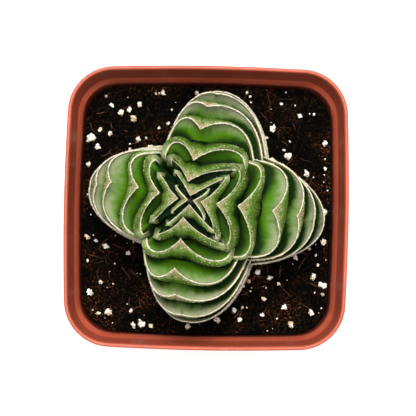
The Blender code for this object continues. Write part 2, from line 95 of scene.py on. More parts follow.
# Perlite grains in millimetres: place from the pot's centre and radius, in rows from the back to the front
LARGE_GRAINS = [
    (-23.7, 26.0, 0.4), (-10.5, 27.0, 0.65), (-2.6, 27.1, 0.6), (9.0, 27.4, 0.35), (17.0, 24.9, 0.35),
    (-22.4, 23.9, 0.55), (-20.2, 22.3, 0.7), (-18.2, 23.0, 0.55), (-15.9, 24.2, 0.75), (-17.3, 20.9, 0.7),
    (-8.4, 23.1, 0.3), (21.3, 22.2, 0.5), (24.6, 22.6, 0.4), (-9.2, 19.9, 0.5), (-11.3, 18.8, 0.4),
    (15.1, 19.1, 0.85), (13.6, 17.0, 0.45), (-27.1, 16.3, 0.95), (-25.5, 14.2, 0.75), (-22.6, 17.4, 0.65),
    (-25.0, 18.3, 0.5), (-16.1, 16.1, 0.6), (-13.4, 14.4, 0.5), (-17.9, 13.6, 0.45), (27.3, 15.9, 0.65),
    (18.8, 12.8, 0.8), (15.2, 11.9, 0.6), (-27.4, 10.1, 0.6), (23.1, 8.8, 0.75), (27.5, 10.0, 0.5),
    (27.5, -0.1, 0.55), (-21.5, -3.3, 0.35), (27.2, -6.9, 0.8), (-27.4, -6.7, 0.6), (-25.4, -7.6, 0.45),
    (-23.2, -8.8, 0.7), (24.0, -8.7, 0.4), (-17.9, -10.3, 0.55), (20.8, -10.7, 0.65), (26.0, -12.3, 0.35),
    (-13.9, -12.8, 0.4), (12.1, -14.1, 0.8), (14.9, -15.5, 0.7), (10.1, -16.4, 0.55), (17.0, -16.8, 0.4),
    (25.0, -15.2, 0.65), (27.2, -17.0, 0.75), (-24.2, -17.1, 0.5), (-26.6, -19.5, 0.7), (27.2, -19.1, 0.45),
    (13.7, -20.4, 0.5), (18.4, -22.2, 0.7), (6.9, -23.1, 0.5), (8.7, -22.5, 0.35), (13.4, -24.1, 0.5),
    (-17.0, -23.7, 0.5), (-22.2, -24.0, 0.85), (24.6, -23.4, 0.7), (-24.6, -24.4, 0.5), (8.2, -25.3, 0.6),
    (2.9, -25.4, 0.85), (20.0, -26.2, 0.95), (-14.4, -26.7, 0.85), (-12.4, -27.1, 0.6), (-16.4, -27.0, 0.7),
    (-3.8, -27.1, 0.8),
]

# Stem and leaf levels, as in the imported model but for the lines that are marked
LEVELS = 16
LOWEST_LEAF = SOIL_TOP + 3.6 * MM
FIRST_SPACING = 1.1 * MM  # between the two youngest levels
SPACING_GROWTH = 0.08 * MM  # added to the spacing at each level downwards
STEM_RADIUS = (0.9 * MM, 2.3 * MM)  # at the apex and in the soil
APEX = Vector((-3.3, 0.4)) * MM  # where the stem ends, seen from above
LEAN = 4.2 * MM  # how far the apex leans to the left of the foot
# The stem's slight bends: how far to the right and back, where along it, and over what part of it
BENDS = [(Vector((-1.2, 0.0)) * MM, 0.7, 0.22), (Vector((0.0, 1.0)) * MM, 0.57, 0.24)]
ARM_TURN = math.radians(-8.0)  # the cross is turned clockwise, seen from above

# Leaf outlines by level, youngest first, in millimetres from the stem's centre line
TIP_REACH = [0.5, 0.9, 2.4, 3.9, 6.2, 8.5, 11.1, 15.2, 18.1, 20.7, 22.5, 24.5, 25.3, 25.7, 26.6, 25.4]
LOBE_LEAD = [1.2, 1.8, 2.7, 3.3, 3.9, 4.4, 3.7, 4.0, 3.0, 1.9, 1.8, 0.9, 0.6, 0.5, 0.4, 0.3]
SHOULDER_REACH = [2.8, 4.3, 6.1, 7.9, 10.9, 13.6, 16.6, 18.6, 20.9, 21.2, 22.2, 22.0, 22.0, 21.8, 21.6, 21.0]
SHOULDER_SPREAD = [
    0.54, 0.63, 0.72, 0.78, 0.88, 0.92, 1.0, 0.87, 1.0, 0.87, 0.9, 0.86, 0.86, 0.86, 0.87, 0.86,
]
HALF_WIDTH = [3.2, 5.2, 6.5, 7.6, 8.7, 9.5, 10.1, 10.8, 11.3, 11.6, 11.8, 11.9, 11.9, 11.9, 11.8, 11.8]
RISE = [2.5, 2.8, 3.1, 3.5, 3.9, 4.3, 4.7, 5.1, 5.4, 5.5, 5.5, 5.4, 5.2, 5.0, 4.8, 4.6]
TIP_LEAN = [0.5, 1.7, 2.6, 3.5, 3.7, 3.0, 3.8, 1.6, 2.0, 0.6, 0.8, 0.2, 0.1, 0.0, 0.0, 0.0]
# Marked: on levels 3 to 8 the lobes lean out up to 1.2 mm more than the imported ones
LOBE_LEAN = [0.5, 0.8, 1.3, 1.8, 2.5, 1.2, 0.9, 0.3, 0.2, 0.0, 0.0, 0.0, 0.0, 0.0, 0.0, 0.0]
# Marked: from level 5 down, the left arm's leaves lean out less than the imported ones
LEFT_LEAN = (1.0, 0.35, 4, 5)

# Each skew below has a value for the younger levels and one for the oldest, and the levels where it changes
SIDE_SKEW = (0.2, 0.0, 10, 16)  # leaves of the front and back are longer on the plant's right
FRONT_SKEW = (0.07, -0.06, 5, 15)  # and those of the two sides on its front
ARM_FULLNESS = (0.07, 0.0, 9, 15)  # the right arm's leaves are fuller than the left arm's
ARM_WIDTH = (0.05, 0.0, 9, 15)
LOBE_SPREAD = 0.36  # of the half width, the lobes' control points
FRONT_REACH = (0.0, 0.8, 4, 9)  # in millimetres, how much further the front arm's leaves reach
# How far single tips stand beside their leaf's midline, counter-clockwise, in millimetres, by level and arm
TIP_SHIFTS = {
    (4, 90): 0.7, (4, 270): -0.5, (5, 180): -0.5, (6, 270): -0.1, (7, 180): -0.7, (8, 270): -0.8,
    (9, 180): -0.7, (10, 90): 0.5, (10, 270): -0.8,
}
# How much narrower single flanks are, in millimetres, by level, arm and side, 1 being counter-clockwise
SHORT_FLANKS = {
    (3, 180, 1): 1.0, (3, 180, -1): 1.0, (4, 90, 1): 1.0, (4, 270, -1): 0.6, (5, 0, -1): 1.2, (6, 90, 1): 1.3,
    (8, 90, 1): 1.4, (9, 0, 1): 0.8, (9, 0, -1): 1.3, (9, 180, -1): 0.5, (10, 90, 1): 1.0, (11, 0, -1): 0.9,
    (11, 180, -1): 0.6, (12, 90, 1): 0.6, (13, 180, -1): 0.4,
}
CORNER_AT = 5 / 6  # along the margin, where it dives below the crossed leaf above
CORNER_REACH = 1.08  # of the half width, in young leaves
CORNER_TUCK = 0.9  # of the crossed leaf's half width above, so that an old leaf's corner lies under that leaf
CORNER_SLIDE = (0.0, 1.0, 4, 9)  # from the one place to the other
CORNER_RISE = (0.4, 0.035, 0.07)  # of the tip's rise: at the top of the plant, lost by each level, and least
TIP_LIFT = 0.12  # of the rise, added at the very tip
TIP_LIFT_SPAN = 0.12  # of the way from the tip to the stem
TIP_LEAN_SPAN = 0.22
HEEL_SPREAD = 0.9  # of the margin's own distance from the midline, where a leaf turns upwards
BASE_ANGLE = math.radians(62.0)  # half the angle that a leaf's base takes round the stem
BASE_FLANK = 1.1 * MM
LEAST_BELLY = 0.1 * MM
# Marked: of the way from the midline to the stem, how far the fold below a tip is rounded
KEEL_ROUNDING = 0.12
LEAF_THICKNESS = 0.62  # of the spacing below the level
MARGIN_THICKNESS = 0.6 * MM
ARM_NAMES = (("right", 0.0), ("back", 90.0), ("left", 180.0), ("front", 270.0))

# A leaf's UV map holds millimetres: along the margin from the tip, and inwards from the margin
UV_PER_MM = 0.02

# Stage, in metres: each light's name, place, width and share of the power
LIGHTS = (("key", (-0.02, 0.32, 0.80), 0.35, 0.55), ("top", (0.0, -0.02, 0.95), 0.5, 0.45))
FLOOR_REACH = 3.0
CAMERA_SHIFT = (0.0041, -0.001)  # in parts of the frame's width, to set the pot where the photo has it


def smooth_step(value, low, high):
    """A smooth rise from 0 at low to 1 at high, or a fall where low is the larger."""
    part = min(max((value - low) / (high - low), 0.0), 1.0)
    return part * part * (3 - 2 * part)


def linear(code):
    """An sRGB hex colour as linear red, green and blue."""
    channels = [int(code[index:index + 2], 16) / 255 for index in (1, 3, 5)]
    return tuple(
        value / 12.92 if value <= 0.04045 else ((value + 0.055) / 1.055) ** 2.4 for value in channels
    )


def colour_property(name, description, code):
    return FloatVectorProperty(
        name=name, description=description, subtype="COLOR", size=3, min=0.0, max=1.0, default=linear(code),
    )


def size_property(name, description, millimetres):
    return FloatProperty(
        name=name, description=description, subtype="DISTANCE", unit="LENGTH", min=0.0,
        default=millimetres * MM,
    )


class PotLook(bpy.types.PropertyGroup):
    """The nursery pot's finish."""

    plastic: colour_property("Plastic", "The moulded plastic's colour", "#B05138")
    pale: colour_property("Pale", "Where the plastic is rubbed or thin", "#C26E50")
    dull: colour_property("Dull", "Where dust and water marks dull it", "#92432E")
    # Painted shade: the colour the inner wall darkens to towards the peat, deep in the pot
    recess_shade: colour_property("Soiled", "The inner wall just above the peat", "#4A1C14")
    ring_steps: IntProperty(
        name="Corner steps", description="Faces round each corner", default=20, min=4, max=64,
    )


class SoilLook(bpy.types.PropertyGroup):
    """The peat, its crumbs and fibres, and the perlite in it."""

    peat: colour_property("Peat", "Wet peat", "#010100")
    crumb: colour_property("Crumb", "Drier crumbs", "#2A1A0D")
    fibre: colour_property("Fibre", "Roots and bark fibres", "#6A3C22")
    perlite: colour_property("Perlite", "Clean perlite", "#F4F0E4")
    stain: colour_property("Stain", "Perlite stained by the peat", "#C9B183")
    crumbs: IntProperty(
        name="Crumbs", description="Loose crumbs on the surface", default=1500, min=0, max=6000,
    )
    fibres: IntProperty(name="Fibres", description="Fibres on the surface", default=170, min=0, max=1000)
    fines: IntProperty(
        name="Fine perlite", description="Small grains of perlite", default=120, min=0, max=1000,
    )


class LeafLook(bpy.types.PropertyGroup):
    """The leaves' colours, from their hidden bases to their beaded margins."""

    deep: colour_property("Deep", "Where other leaves shade it", "#061902")
    green: colour_property("Green", "The upper face", "#3E6806")
    bloom: colour_property("Bloom", "The waxy band inside the margin", "#B0AC90")
    # Painted shade: a darker green line along the midline, where the leaf's fold turns one half from the light
    fold_shade: colour_property("Stripe", "The thin line from a tip to the stem", "#2E5A0A")
    margin: colour_property("Margin", "The crest of the margin", "#E4D8C8")
    line: colour_property("Line", "The thin line inside the margin", "#5E5A22")
    scorch: colour_property("Scorch", "The same line at an old leaf's tip", "#7A4420")
    blush: colour_property("Blush", "The margin and the back near a tip", "#9C8468")
    back: colour_property("Back", "The velvety outer face", "#3F5F06")
    velvet: colour_property("Velvet", "The hairs on the outer face", "#A0A678")
    cork: colour_property("Cork", "The stem's bark", "#6F6248")
    margin_width: size_property("Margin", "The leaf's thickness at its margin", 0.3)
    pad_width: size_property("Pad", "The thickest of the young leaves' corners", 1.9)
    bead_radius: size_property("Bead", "The largest of the beads along the margin", 0.15)
    bead_pitch: size_property("Bead pitch", "From bead to bead", 0.2)


class StageLook(bpy.types.PropertyGroup):
    """The floor, the lights and the camera."""

    floor: colour_property("Floor", "The studio floor", "#BEBEBE")
    glow: FloatProperty(name="Glow", description="The floor's own light", default=0.7, min=0.0)
    key: FloatProperty(
        name="Key", description="The power of both lights", unit="POWER", default=14.5, min=0.0,
    )
    fill: FloatProperty(name="Fill", description="The world's brightness", default=0.25, min=0.0)


def add_node(tree, kind, inputs=None, output=0, **settings):
    """Adds a node with its settings, fills its inputs with values or links, and returns one of its outputs."""
    node = tree.nodes.new(kind)
    for name, value in settings.items():
        setattr(node, name, value)
    for name, value in (inputs or {}).items():
        socket = node.inputs[name]
        if isinstance(value, bpy.types.NodeSocket):
            tree.links.new(value, socket)
        elif socket.type == "RGBA":
            socket.default_value = (*value, 1.0)
        else:
            socket.default_value = value
    return node.outputs[output]


def shader(name, roughness, ior=1.45):
    """A new material with its Principled shader."""
    finish = bpy.data.materials.new(name)
    finish.use_nodes = True
    tree = finish.node_tree
    principled = tree.nodes["Principled BSDF"]
    principled.inputs["Roughness"].default_value = roughness
    principled.inputs["IOR"].default_value = ior
    principled.inputs["Metallic"].default_value = 0.0
    return finish, tree, principled


def moulded_polypropylene(look, recess_shade=False):
    """Injection-moulded polypropylene: satin, a little patchy, with fine orange peel and faint rubbed marks.

    For the inner wall, it is painted darker from the collar's step down to the peat, as shade in the pot's
    recess.
    """
    name = "recess_shaded_polypropylene" if recess_shade else "moulded_polypropylene"
    finish, tree, principled = shader(name, 0.42, 1.49)
    place = add_node(tree, "ShaderNodeTexCoord", output="Object")
    broad = add_node(tree, "ShaderNodeTexNoise", {"Vector": place, "Scale": 0.07 / MM, "Detail": 4.0})
    patches = add_node(
        tree, "ShaderNodeMapRange", {"Value": broad, "From Min": 0.35, "From Max": 0.7, "To Min": 0.5},
        interpolation_type="SMOOTHSTEP",
    )
    body = add_node(tree, "ShaderNodeMix", {0: patches, 6: look.dull, 7: look.plastic}, 2, data_type="RGBA")
    marks = add_node(
        tree, "ShaderNodeTexNoise", {"Vector": place, "Scale": 0.55 / MM, "Detail": 5.0, "Roughness": 0.7},
    )
    rubbed = add_node(
        tree, "ShaderNodeMapRange", {"Value": marks, "From Min": 0.56, "From Max": 0.8, "To Max": 0.4},
        interpolation_type="SMOOTHSTEP",
    )
    colour = add_node(tree, "ShaderNodeMix", {0: rubbed, 6: body, 7: look.pale}, 2, data_type="RGBA")
    # Painted shade on the inner wall: darker, unevenly, from the collar's step down to just above the peat
    if recess_shade:
        height = add_node(tree, "ShaderNodeSeparateXYZ", {"Vector": place}, 2)
        uneven = add_node(
            tree, "ShaderNodeMath", {0: marks, 1: 1.5 * MM, 2: height}, operation="MULTIPLY_ADD",
        )
        recess_shade_from = POT_HEIGHT - 6.5 * MM
        darkest_at = SOIL_TOP + 1.5 * MM
        low = add_node(
            tree, "ShaderNodeMapRange",
            {"Value": uneven, "From Min": recess_shade_from, "From Max": darkest_at, "To Min": 0.3},
            interpolation_type="SMOOTHSTEP",
        )
        colour = add_node(tree, "ShaderNodeMix", {0: low, 6: colour, 7: look.recess_shade}, 2, data_type="RGBA")
    tree.links.new(colour, principled.inputs["Base Color"])
    gloss = add_node(
        tree, "ShaderNodeMapRange",
        {"Value": marks, "From Min": 0.3, "From Max": 0.7, "To Min": 0.32, "To Max": 0.5},
    )
    tree.links.new(gloss, principled.inputs["Roughness"])
    principled.inputs["Specular IOR Level"].default_value = 0.25
    peel = add_node(tree, "ShaderNodeTexNoise", {"Vector": place, "Scale": 1.6 / MM, "Detail": 2.0})
    relief = add_node(tree, "ShaderNodeBump", {"Height": peel, "Strength": 0.12, "Distance": 0.05 * MM})
    tree.links.new(relief, principled.inputs["Normal"])
    principled.inputs["Subsurface Weight"].default_value = 0.1
    principled.inputs["Subsurface Radius"].default_value = (1.0, 0.3, 0.15)
    principled.inputs["Subsurface Scale"].default_value = 1.0 * MM
    return finish


def damp_peat(look):
    """Milled peat, damp: near black, matt, with drier brown crumbs and reddish specks of bark."""
    finish, tree, principled = shader("damp_peat", 0.95)
    place = add_node(tree, "ShaderNodeTexCoord", output="Object")
    crumbs = add_node(
        tree, "ShaderNodeTexNoise", {"Vector": place, "Scale": 1.4 / MM, "Detail": 6.0, "Roughness": 0.7},
    )
    lighter = add_node(
        tree, "ShaderNodeMapRange", {"Value": crumbs, "From Min": 0.5, "From Max": 0.74},
        interpolation_type="SMOOTHSTEP",
    )
    colour = add_node(tree, "ShaderNodeMix", {0: lighter, 6: look.peat, 7: look.crumb}, 2, data_type="RGBA")
    broad = add_node(tree, "ShaderNodeTexNoise", {"Vector": place, "Scale": 0.11 / MM, "Detail": 2.0})
    dry = add_node(
        tree, "ShaderNodeMapRange", {"Value": broad, "From Min": 0.46, "From Max": 0.66},
        interpolation_type="SMOOTHSTEP",
    )
    fine = add_node(tree, "ShaderNodeTexNoise", {"Vector": place, "Scale": 2.6 / MM, "Detail": 3.0})
    specks = add_node(
        tree, "ShaderNodeMapRange", {"Value": fine, "From Min": 0.55, "From Max": 0.7},
        interpolation_type="SMOOTHSTEP",
    )
    bark = add_node(tree, "ShaderNodeMath", {0: dry, 1: specks}, operation="MULTIPLY")
    colour = add_node(tree, "ShaderNodeMix", {0: bark, 6: colour, 7: look.fibre}, 2, data_type="RGBA")
    tree.links.new(colour, principled.inputs["Base Color"])
    relief = add_node(tree, "ShaderNodeBump", {"Height": crumbs, "Strength": 1.0, "Distance": 0.45 * MM})
    tree.links.new(relief, principled.inputs["Normal"])
    principled.inputs["Specular IOR Level"].default_value = 0.06
    return finish


def dry_fibre(look):
    """Fibres of root and bark: brown, matt, lighter where they have dried."""
    finish, tree, principled = shader("dry_fibre", 0.85)
    place = add_node(tree, "ShaderNodeTexCoord", output="Object")
    broad = add_node(tree, "ShaderNodeTexNoise", {"Vector": place, "Scale": 0.35 / MM, "Detail": 3.0})
    shade = add_node(tree, "ShaderNodeMapRange", {"Value": broad, "From Min": 0.35, "From Max": 0.75})
    colour = add_node(tree, "ShaderNodeMix", {0: shade, 6: look.crumb, 7: look.fibre}, 2, data_type="RGBA")
    tree.links.new(colour, principled.inputs["Base Color"])
    return finish


def expanded_perlite(look):
    """Expanded volcanic glass: white, matt and porous, stained beige in places and dark in its pores."""
    finish, tree, principled = shader("expanded_perlite", 0.9, 1.5)
    place = add_node(tree, "ShaderNodeTexCoord", output="Object")
    pores = add_node(
        tree, "ShaderNodeTexNoise", {"Vector": place, "Scale": 1.8 / MM, "Detail": 4.0, "Roughness": 0.6},
    )
    broad = add_node(tree, "ShaderNodeTexNoise", {"Vector": place, "Scale": 0.4 / MM, "Detail": 3.0})
    stain = add_node(
        tree, "ShaderNodeMapRange", {"Value": broad, "From Min": 0.44, "From Max": 0.66},
        interpolation_type="SMOOTHSTEP",
    )
    colour = add_node(tree, "ShaderNodeMix", {0: stain, 6: look.perlite, 7: look.stain}, 2, data_type="RGBA")
    hollow = add_node(
        tree, "ShaderNodeMapRange", {"Value": pores, "From Min": 0.5, "From Max": 0.34, "To Max": 0.75},
        interpolation_type="SMOOTHSTEP",
    )
    colour = add_node(tree, "ShaderNodeMix", {0: hollow, 6: colour, 7: look.fibre}, 2, data_type="RGBA")
    tree.links.new(colour, principled.inputs["Base Color"])
    relief = add_node(tree, "ShaderNodeBump", {"Height": pores, "Strength": 0.9, "Distance": 0.25 * MM})
    tree.links.new(relief, principled.inputs["Normal"])
    principled.inputs["Subsurface Weight"].default_value = 0.1
    principled.inputs["Subsurface Scale"].default_value = 0.3 * MM
    return finish


def leaf_values(tree):
    """A leaf's run and inwards, in millimetres, and its age, clear and flank, as LeafMaker notes them."""
    names = ("run", "inwards", "age", "clear", "flank")
    return [add_node(tree, "ShaderNodeAttribute", output="Fac", attribute_name=name) for name in names]


def waxy_leaf(look):
    """The upper face: waxy green, near black where leaves shade it, with a pale bloom inside the margin."""
    finish, tree, principled = shader("waxy_leaf", 0.55, 1.42)
    run, inwards, age, clear, flank = leaf_values(tree)
    uv = add_node(tree, "ShaderNodeUVMap", uv_map="leaf")
    broad_place = add_node(
        tree, "ShaderNodeMapping", {"Vector": uv, "Scale": (0.5 / UV_PER_MM, 0.4 / UV_PER_MM, 1.0)},
    )
    broad = add_node(tree, "ShaderNodeTexNoise", {"Vector": broad_place, "Scale": 1.0, "Detail": 3.0})
    wave = add_node(tree, "ShaderNodeMath", {0: broad, 1: 1.2, 2: -0.6}, operation="MULTIPLY_ADD")
    # The oldest leaves show only a strip, but stand far enough apart for light to reach it
    sunlit = add_node(
        tree, "ShaderNodeMapRange", {"Value": age, "From Min": 0.45, "From Max": 1.0, "To Max": 1.6},
    )
    bared = add_node(tree, "ShaderNodeMath", {0: clear, 1: sunlit}, operation="ADD")
    open_to_light = add_node(tree, "ShaderNodeMath", {0: bared, 1: wave}, operation="ADD")
    lit = add_node(
        tree, "ShaderNodeMapRange",
        {"Value": open_to_light, "From Min": -0.1, "From Max": 2.6, "To Min": 0.04},
        interpolation_type="SMOOTHSTEP",
    )
    # A young leaf stands upright beside the next one in, so only the part beside its crest gets light
    near_crest = add_node(
        tree, "ShaderNodeMapRange", {"Value": inwards, "From Min": 2.7, "From Max": 0.5},
        interpolation_type="SMOOTHSTEP",
    )
    spread_out = add_node(tree, "ShaderNodeMapRange", {"Value": age, "From Min": 0.2, "From Max": 0.45})
    lit = add_node(tree, "ShaderNodeMix", {0: spread_out, 2: near_crest, 3: lit})
    colour = add_node(tree, "ShaderNodeMix", {0: lit, 6: look.deep, 7: look.green}, 2, data_type="RGBA")
    # The bloom lies on the outer part of what shows, most of all on the lobes
    old = add_node(tree, "ShaderNodeMapRange", {"Value": age, "From Min": 0.28, "From Max": 0.62})
    seen = add_node(tree, "ShaderNodeMath", {0: bared, 1: inwards}, operation="ADD")
    seen = add_node(tree, "ShaderNodeMath", {0: seen, 1: 0.5}, operation="MAXIMUM")
    outer_part = add_node(tree, "ShaderNodeMath", {0: bared, 1: seen}, operation="DIVIDE")
    outer_part = add_node(tree, "ShaderNodeMath", {0: wave, 1: 0.35, 2: outer_part}, operation="MULTIPLY_ADD")
    first = add_node(
        tree, "ShaderNodeMapRange",
        {"Value": age, "From Min": 0.4, "From Max": 0.75, "To Min": 0.35, "To Max": 0.0},
    )
    outer_part = add_node(
        tree, "ShaderNodeMapRange", {"Value": outer_part, "From Min": first, "From Max": 0.9},
        interpolation_type="SMOOTHSTEP",
    )
    lobed = add_node(
        tree, "ShaderNodeMapRange", {"Value": flank, "From Min": 0.85, "From Max": 0.4, "To Min": 0.25},
        interpolation_type="SMOOTHSTEP",
    )
    edge = add_node(tree, "ShaderNodeMath", {0: outer_part, 1: lobed}, operation="MULTIPLY")
    grain_place = add_node(
        tree, "ShaderNodeMapping", {"Vector": uv, "Scale": (2.6 / UV_PER_MM, 1.8 / UV_PER_MM, 1.0)},
    )
    grain = add_node(tree, "ShaderNodeTexNoise", {"Vector": grain_place, "Scale": 1.0, "Detail": 2.0})
    dusty = add_node(
        tree, "ShaderNodeMapRange", {"Value": grain, "From Min": 0.3, "From Max": 0.6, "To Min": 0.65},
    )
    waxed = add_node(tree, "ShaderNodeMath", {0: old, 1: edge}, operation="MULTIPLY")
    waxed = add_node(tree, "ShaderNodeMath", {0: waxed, 1: dusty}, operation="MULTIPLY")
    colour = add_node(tree, "ShaderNodeMix", {0: waxed, 6: colour, 7: look.bloom}, 2, data_type="RGBA")
    # Painted shade of the fold along the midline, on the exposed outer part of the leaf
    middle = add_node(tree, "ShaderNodeMath", {0: run}, operation="ABSOLUTE")
    fold_shade = add_node(
        tree, "ShaderNodeMapRange", {"Value": middle, "From Min": 0.55, "From Max": 0.1, "To Max": 0.8},
        interpolation_type="SMOOTHSTEP",
    )
    fold_shade = add_node(tree, "ShaderNodeMath", {0: fold_shade, 1: edge}, operation="MULTIPLY")
    colour = add_node(tree, "ShaderNodeMix", {0: fold_shade, 6: colour, 7: look.fold_shade}, 2, data_type="RGBA")
    # The margin's lines are thinner on young leaves
    fineness = add_node(
        tree, "ShaderNodeMapRange", {"Value": age, "From Max": 0.5, "To Min": 1.25, "To Max": 1.0},
    )
    across_line = add_node(tree, "ShaderNodeMath", {0: inwards, 1: fineness}, operation="MULTIPLY")
    line = add_node(
        tree, "ShaderNodeMapRange", {"Value": across_line, "From Min": 0.75, "From Max": 0.25, "To Max": 0.8},
        interpolation_type="SMOOTHSTEP",
    )
    at_tip = add_node(
        tree, "ShaderNodeMapRange", {"Value": middle, "From Min": 2.6, "From Max": 0.4, "To Max": 0.9},
    )
    aged = add_node(tree, "ShaderNodeMapRange", {"Value": age, "From Min": 0.45, "From Max": 0.7})
    scorched = add_node(tree, "ShaderNodeMath", {0: at_tip, 1: aged}, operation="MULTIPLY")
    lining = add_node(tree, "ShaderNodeMix", {0: scorched, 6: look.line, 7: look.scorch}, 2, data_type="RGBA")
    colour = add_node(tree, "ShaderNodeMix", {0: line, 6: colour, 7: lining}, 2, data_type="RGBA")
    rim = add_node(
        tree, "ShaderNodeMapRange", {"Value": across_line, "From Min": 0.22, "From Max": 0.1},
        interpolation_type="SMOOTHSTEP",
    )
    colour = add_node(tree, "ShaderNodeMix", {0: rim, 6: colour, 7: look.margin}, 2, data_type="RGBA")
    # Painted shade: past the corner, where the leaf runs under the crossed leaf above, it takes the dark shade
    # colour
    hidden = add_node(
        tree, "ShaderNodeMapRange", {"Value": flank, "From Min": 0.9, "From Max": 0.98},
        interpolation_type="SMOOTHSTEP",
    )
    colour = add_node(tree, "ShaderNodeMix", {0: hidden, 6: colour, 7: look.deep}, 2, data_type="RGBA")
    tree.links.new(colour, principled.inputs["Base Color"])
    relief = add_node(tree, "ShaderNodeBump", {"Height": grain, "Strength": 0.35, "Distance": 0.12 * MM})
    tree.links.new(relief, principled.inputs["Normal"])
    principled.inputs["Specular IOR Level"].default_value = 0.04
    principled.inputs["Subsurface Weight"].default_value = 0.08
    principled.inputs["Subsurface Radius"].default_value = (0.4, 1.0, 0.1)
    principled.inputs["Subsurface Scale"].default_value = 0.4 * MM
    return finish


def velvet_leaf(look):
    """The outer face and the margin: olive under short pale hairs, cream at the crest, blushed at the tip."""
    finish, tree, principled = shader("velvet_leaf", 0.85, 1.4)
    run, inwards, age, _, flank = leaf_values(tree)
    uv = add_node(tree, "ShaderNodeUVMap", uv_map="leaf")
    # The real hairs are too fine to show at this size, so their pattern is drawn coarser
    hair_place = add_node(
        tree, "ShaderNodeMapping", {"Vector": uv, "Scale": (3.4 / UV_PER_MM, 2.4 / UV_PER_MM, 1.0)},
    )
    hairs = add_node(tree, "ShaderNodeTexNoise", {"Vector": hair_place, "Scale": 1.0, "Detail": 2.0})
    broad_place = add_node(
        tree, "ShaderNodeMapping", {"Vector": uv, "Scale": (0.5 / UV_PER_MM, 0.5 / UV_PER_MM, 1.0)},
    )
    broad = add_node(tree, "ShaderNodeTexNoise", {"Vector": broad_place, "Scale": 1.0, "Detail": 2.0})
    middle = add_node(tree, "ShaderNodeMath", {0: run}, operation="ABSOLUTE")
    beside = add_node(
        tree, "ShaderNodeMapRange", {"Value": middle, "From Min": 3.0, "From Max": 0.2, "To Max": 0.8},
        interpolation_type="SMOOTHSTEP",
    )
    # More of the outer face shows below a tip than below a lobe
    depth = add_node(tree, "ShaderNodeMath", {0: beside, 1: -2.6, 2: inwards}, operation="MULTIPLY_ADD")
    # Old leaves stand apart, so light gets further in below them
    reach = add_node(
        tree, "ShaderNodeMapRange",
        {"Value": age, "From Min": 0.35, "From Max": 0.65, "To Min": 3.1, "To Max": 11.0},
    )
    shown = add_node(
        tree, "ShaderNodeMapRange", {"Value": depth, "From Min": reach, "From Max": 0.9},
        interpolation_type="SMOOTHSTEP",
    )
    colour = add_node(tree, "ShaderNodeMix", {0: shown, 6: look.deep, 7: look.back}, 2, data_type="RGBA")
    # The hairs are thick beside the crest, thin further in, and catch the light again at the band's foot
    cover = add_node(
        tree, "ShaderNodeMapRange", {"Value": depth, "From Min": 1.6, "From Max": 0.1, "To Max": 0.85},
    )
    frosted = add_node(
        tree, "ShaderNodeMapRange", {"Value": depth, "From Min": 0.9, "From Max": 2.2, "To Max": 0.4},
    )
    frosted = add_node(tree, "ShaderNodeMath", {0: frosted, 1: shown}, operation="MULTIPLY")
    cover = add_node(tree, "ShaderNodeMath", {0: cover, 1: frosted}, operation="MAXIMUM")
    uneven = add_node(tree, "ShaderNodeMath", {0: broad, 1: 0.4, 2: hairs}, operation="MULTIPLY_ADD")
    tufts = add_node(
        tree, "ShaderNodeMapRange", {"Value": uneven, "From Min": 0.64, "From Max": 0.8},
        interpolation_type="SMOOTHSTEP",
    )
    tufts = add_node(tree, "ShaderNodeMath", {0: tufts, 1: cover}, operation="MULTIPLY")
    colour = add_node(tree, "ShaderNodeMix", {0: tufts, 6: colour, 7: look.velvet}, 2, data_type="RGBA")
    end = add_node(
        tree, "ShaderNodeMapRange", {"Value": flank, "From Min": 0.72, "From Max": 0.95},
        interpolation_type="SMOOTHSTEP",
    )
    pale_end = add_node(tree, "ShaderNodeMath", {0: end, 1: shown}, operation="MULTIPLY")
    pale_end = add_node(tree, "ShaderNodeMath", {0: pale_end, 1: hairs}, operation="MULTIPLY")
    colour = add_node(tree, "ShaderNodeMix", {0: pale_end, 6: colour, 7: look.velvet}, 2, data_type="RGBA")
    below = add_node(
        tree, "ShaderNodeMapRange", {"Value": inwards, "From Min": 2.4, "From Max": 0.3},
        interpolation_type="SMOOTHSTEP",
    )
    blushed = add_node(tree, "ShaderNodeMath", {0: beside, 1: below}, operation="MULTIPLY")
    colour = add_node(tree, "ShaderNodeMix", {0: blushed, 6: colour, 7: look.blush}, 2, data_type="RGBA")
    fineness = add_node(
        tree, "ShaderNodeMapRange", {"Value": age, "From Max": 0.5, "To Min": 1.25, "To Max": 1.0},
    )
    across_line = add_node(tree, "ShaderNodeMath", {0: inwards, 1: fineness}, operation="MULTIPLY")
    rim = add_node(
        tree, "ShaderNodeMapRange", {"Value": across_line, "From Min": 0.36, "From Max": 0.2},
        interpolation_type="SMOOTHSTEP",
    )
    before_end = add_node(tree, "ShaderNodeMath", {0: end, 1: -0.6, 2: 1.0}, operation="MULTIPLY_ADD")
    rim = add_node(tree, "ShaderNodeMath", {0: rim, 1: before_end}, operation="MULTIPLY")
    rosy = add_node(tree, "ShaderNodeMath", {0: beside, 1: 0.5}, operation="MULTIPLY")
    crest = add_node(tree, "ShaderNodeMix", {0: rosy, 6: look.margin, 7: look.blush}, 2, data_type="RGBA")
    colour = add_node(tree, "ShaderNodeMix", {0: rim, 6: colour, 7: crest}, 2, data_type="RGBA")
    # Painted shade: the outer face past the corner, under the crossed leaf above, takes the dark shade colour
    hidden = add_node(
        tree, "ShaderNodeMapRange", {"Value": flank, "From Min": 0.98, "From Max": 1.04},
        interpolation_type="SMOOTHSTEP",
    )
    colour = add_node(tree, "ShaderNodeMix", {0: hidden, 6: colour, 7: look.deep}, 2, data_type="RGBA")
    tree.links.new(colour, principled.inputs["Base Color"])
    relief = add_node(tree, "ShaderNodeBump", {"Height": hairs, "Strength": 1.0, "Distance": 0.25 * MM})
    tree.links.new(relief, principled.inputs["Normal"])
    principled.inputs["Specular IOR Level"].default_value = 0.03
    return finish


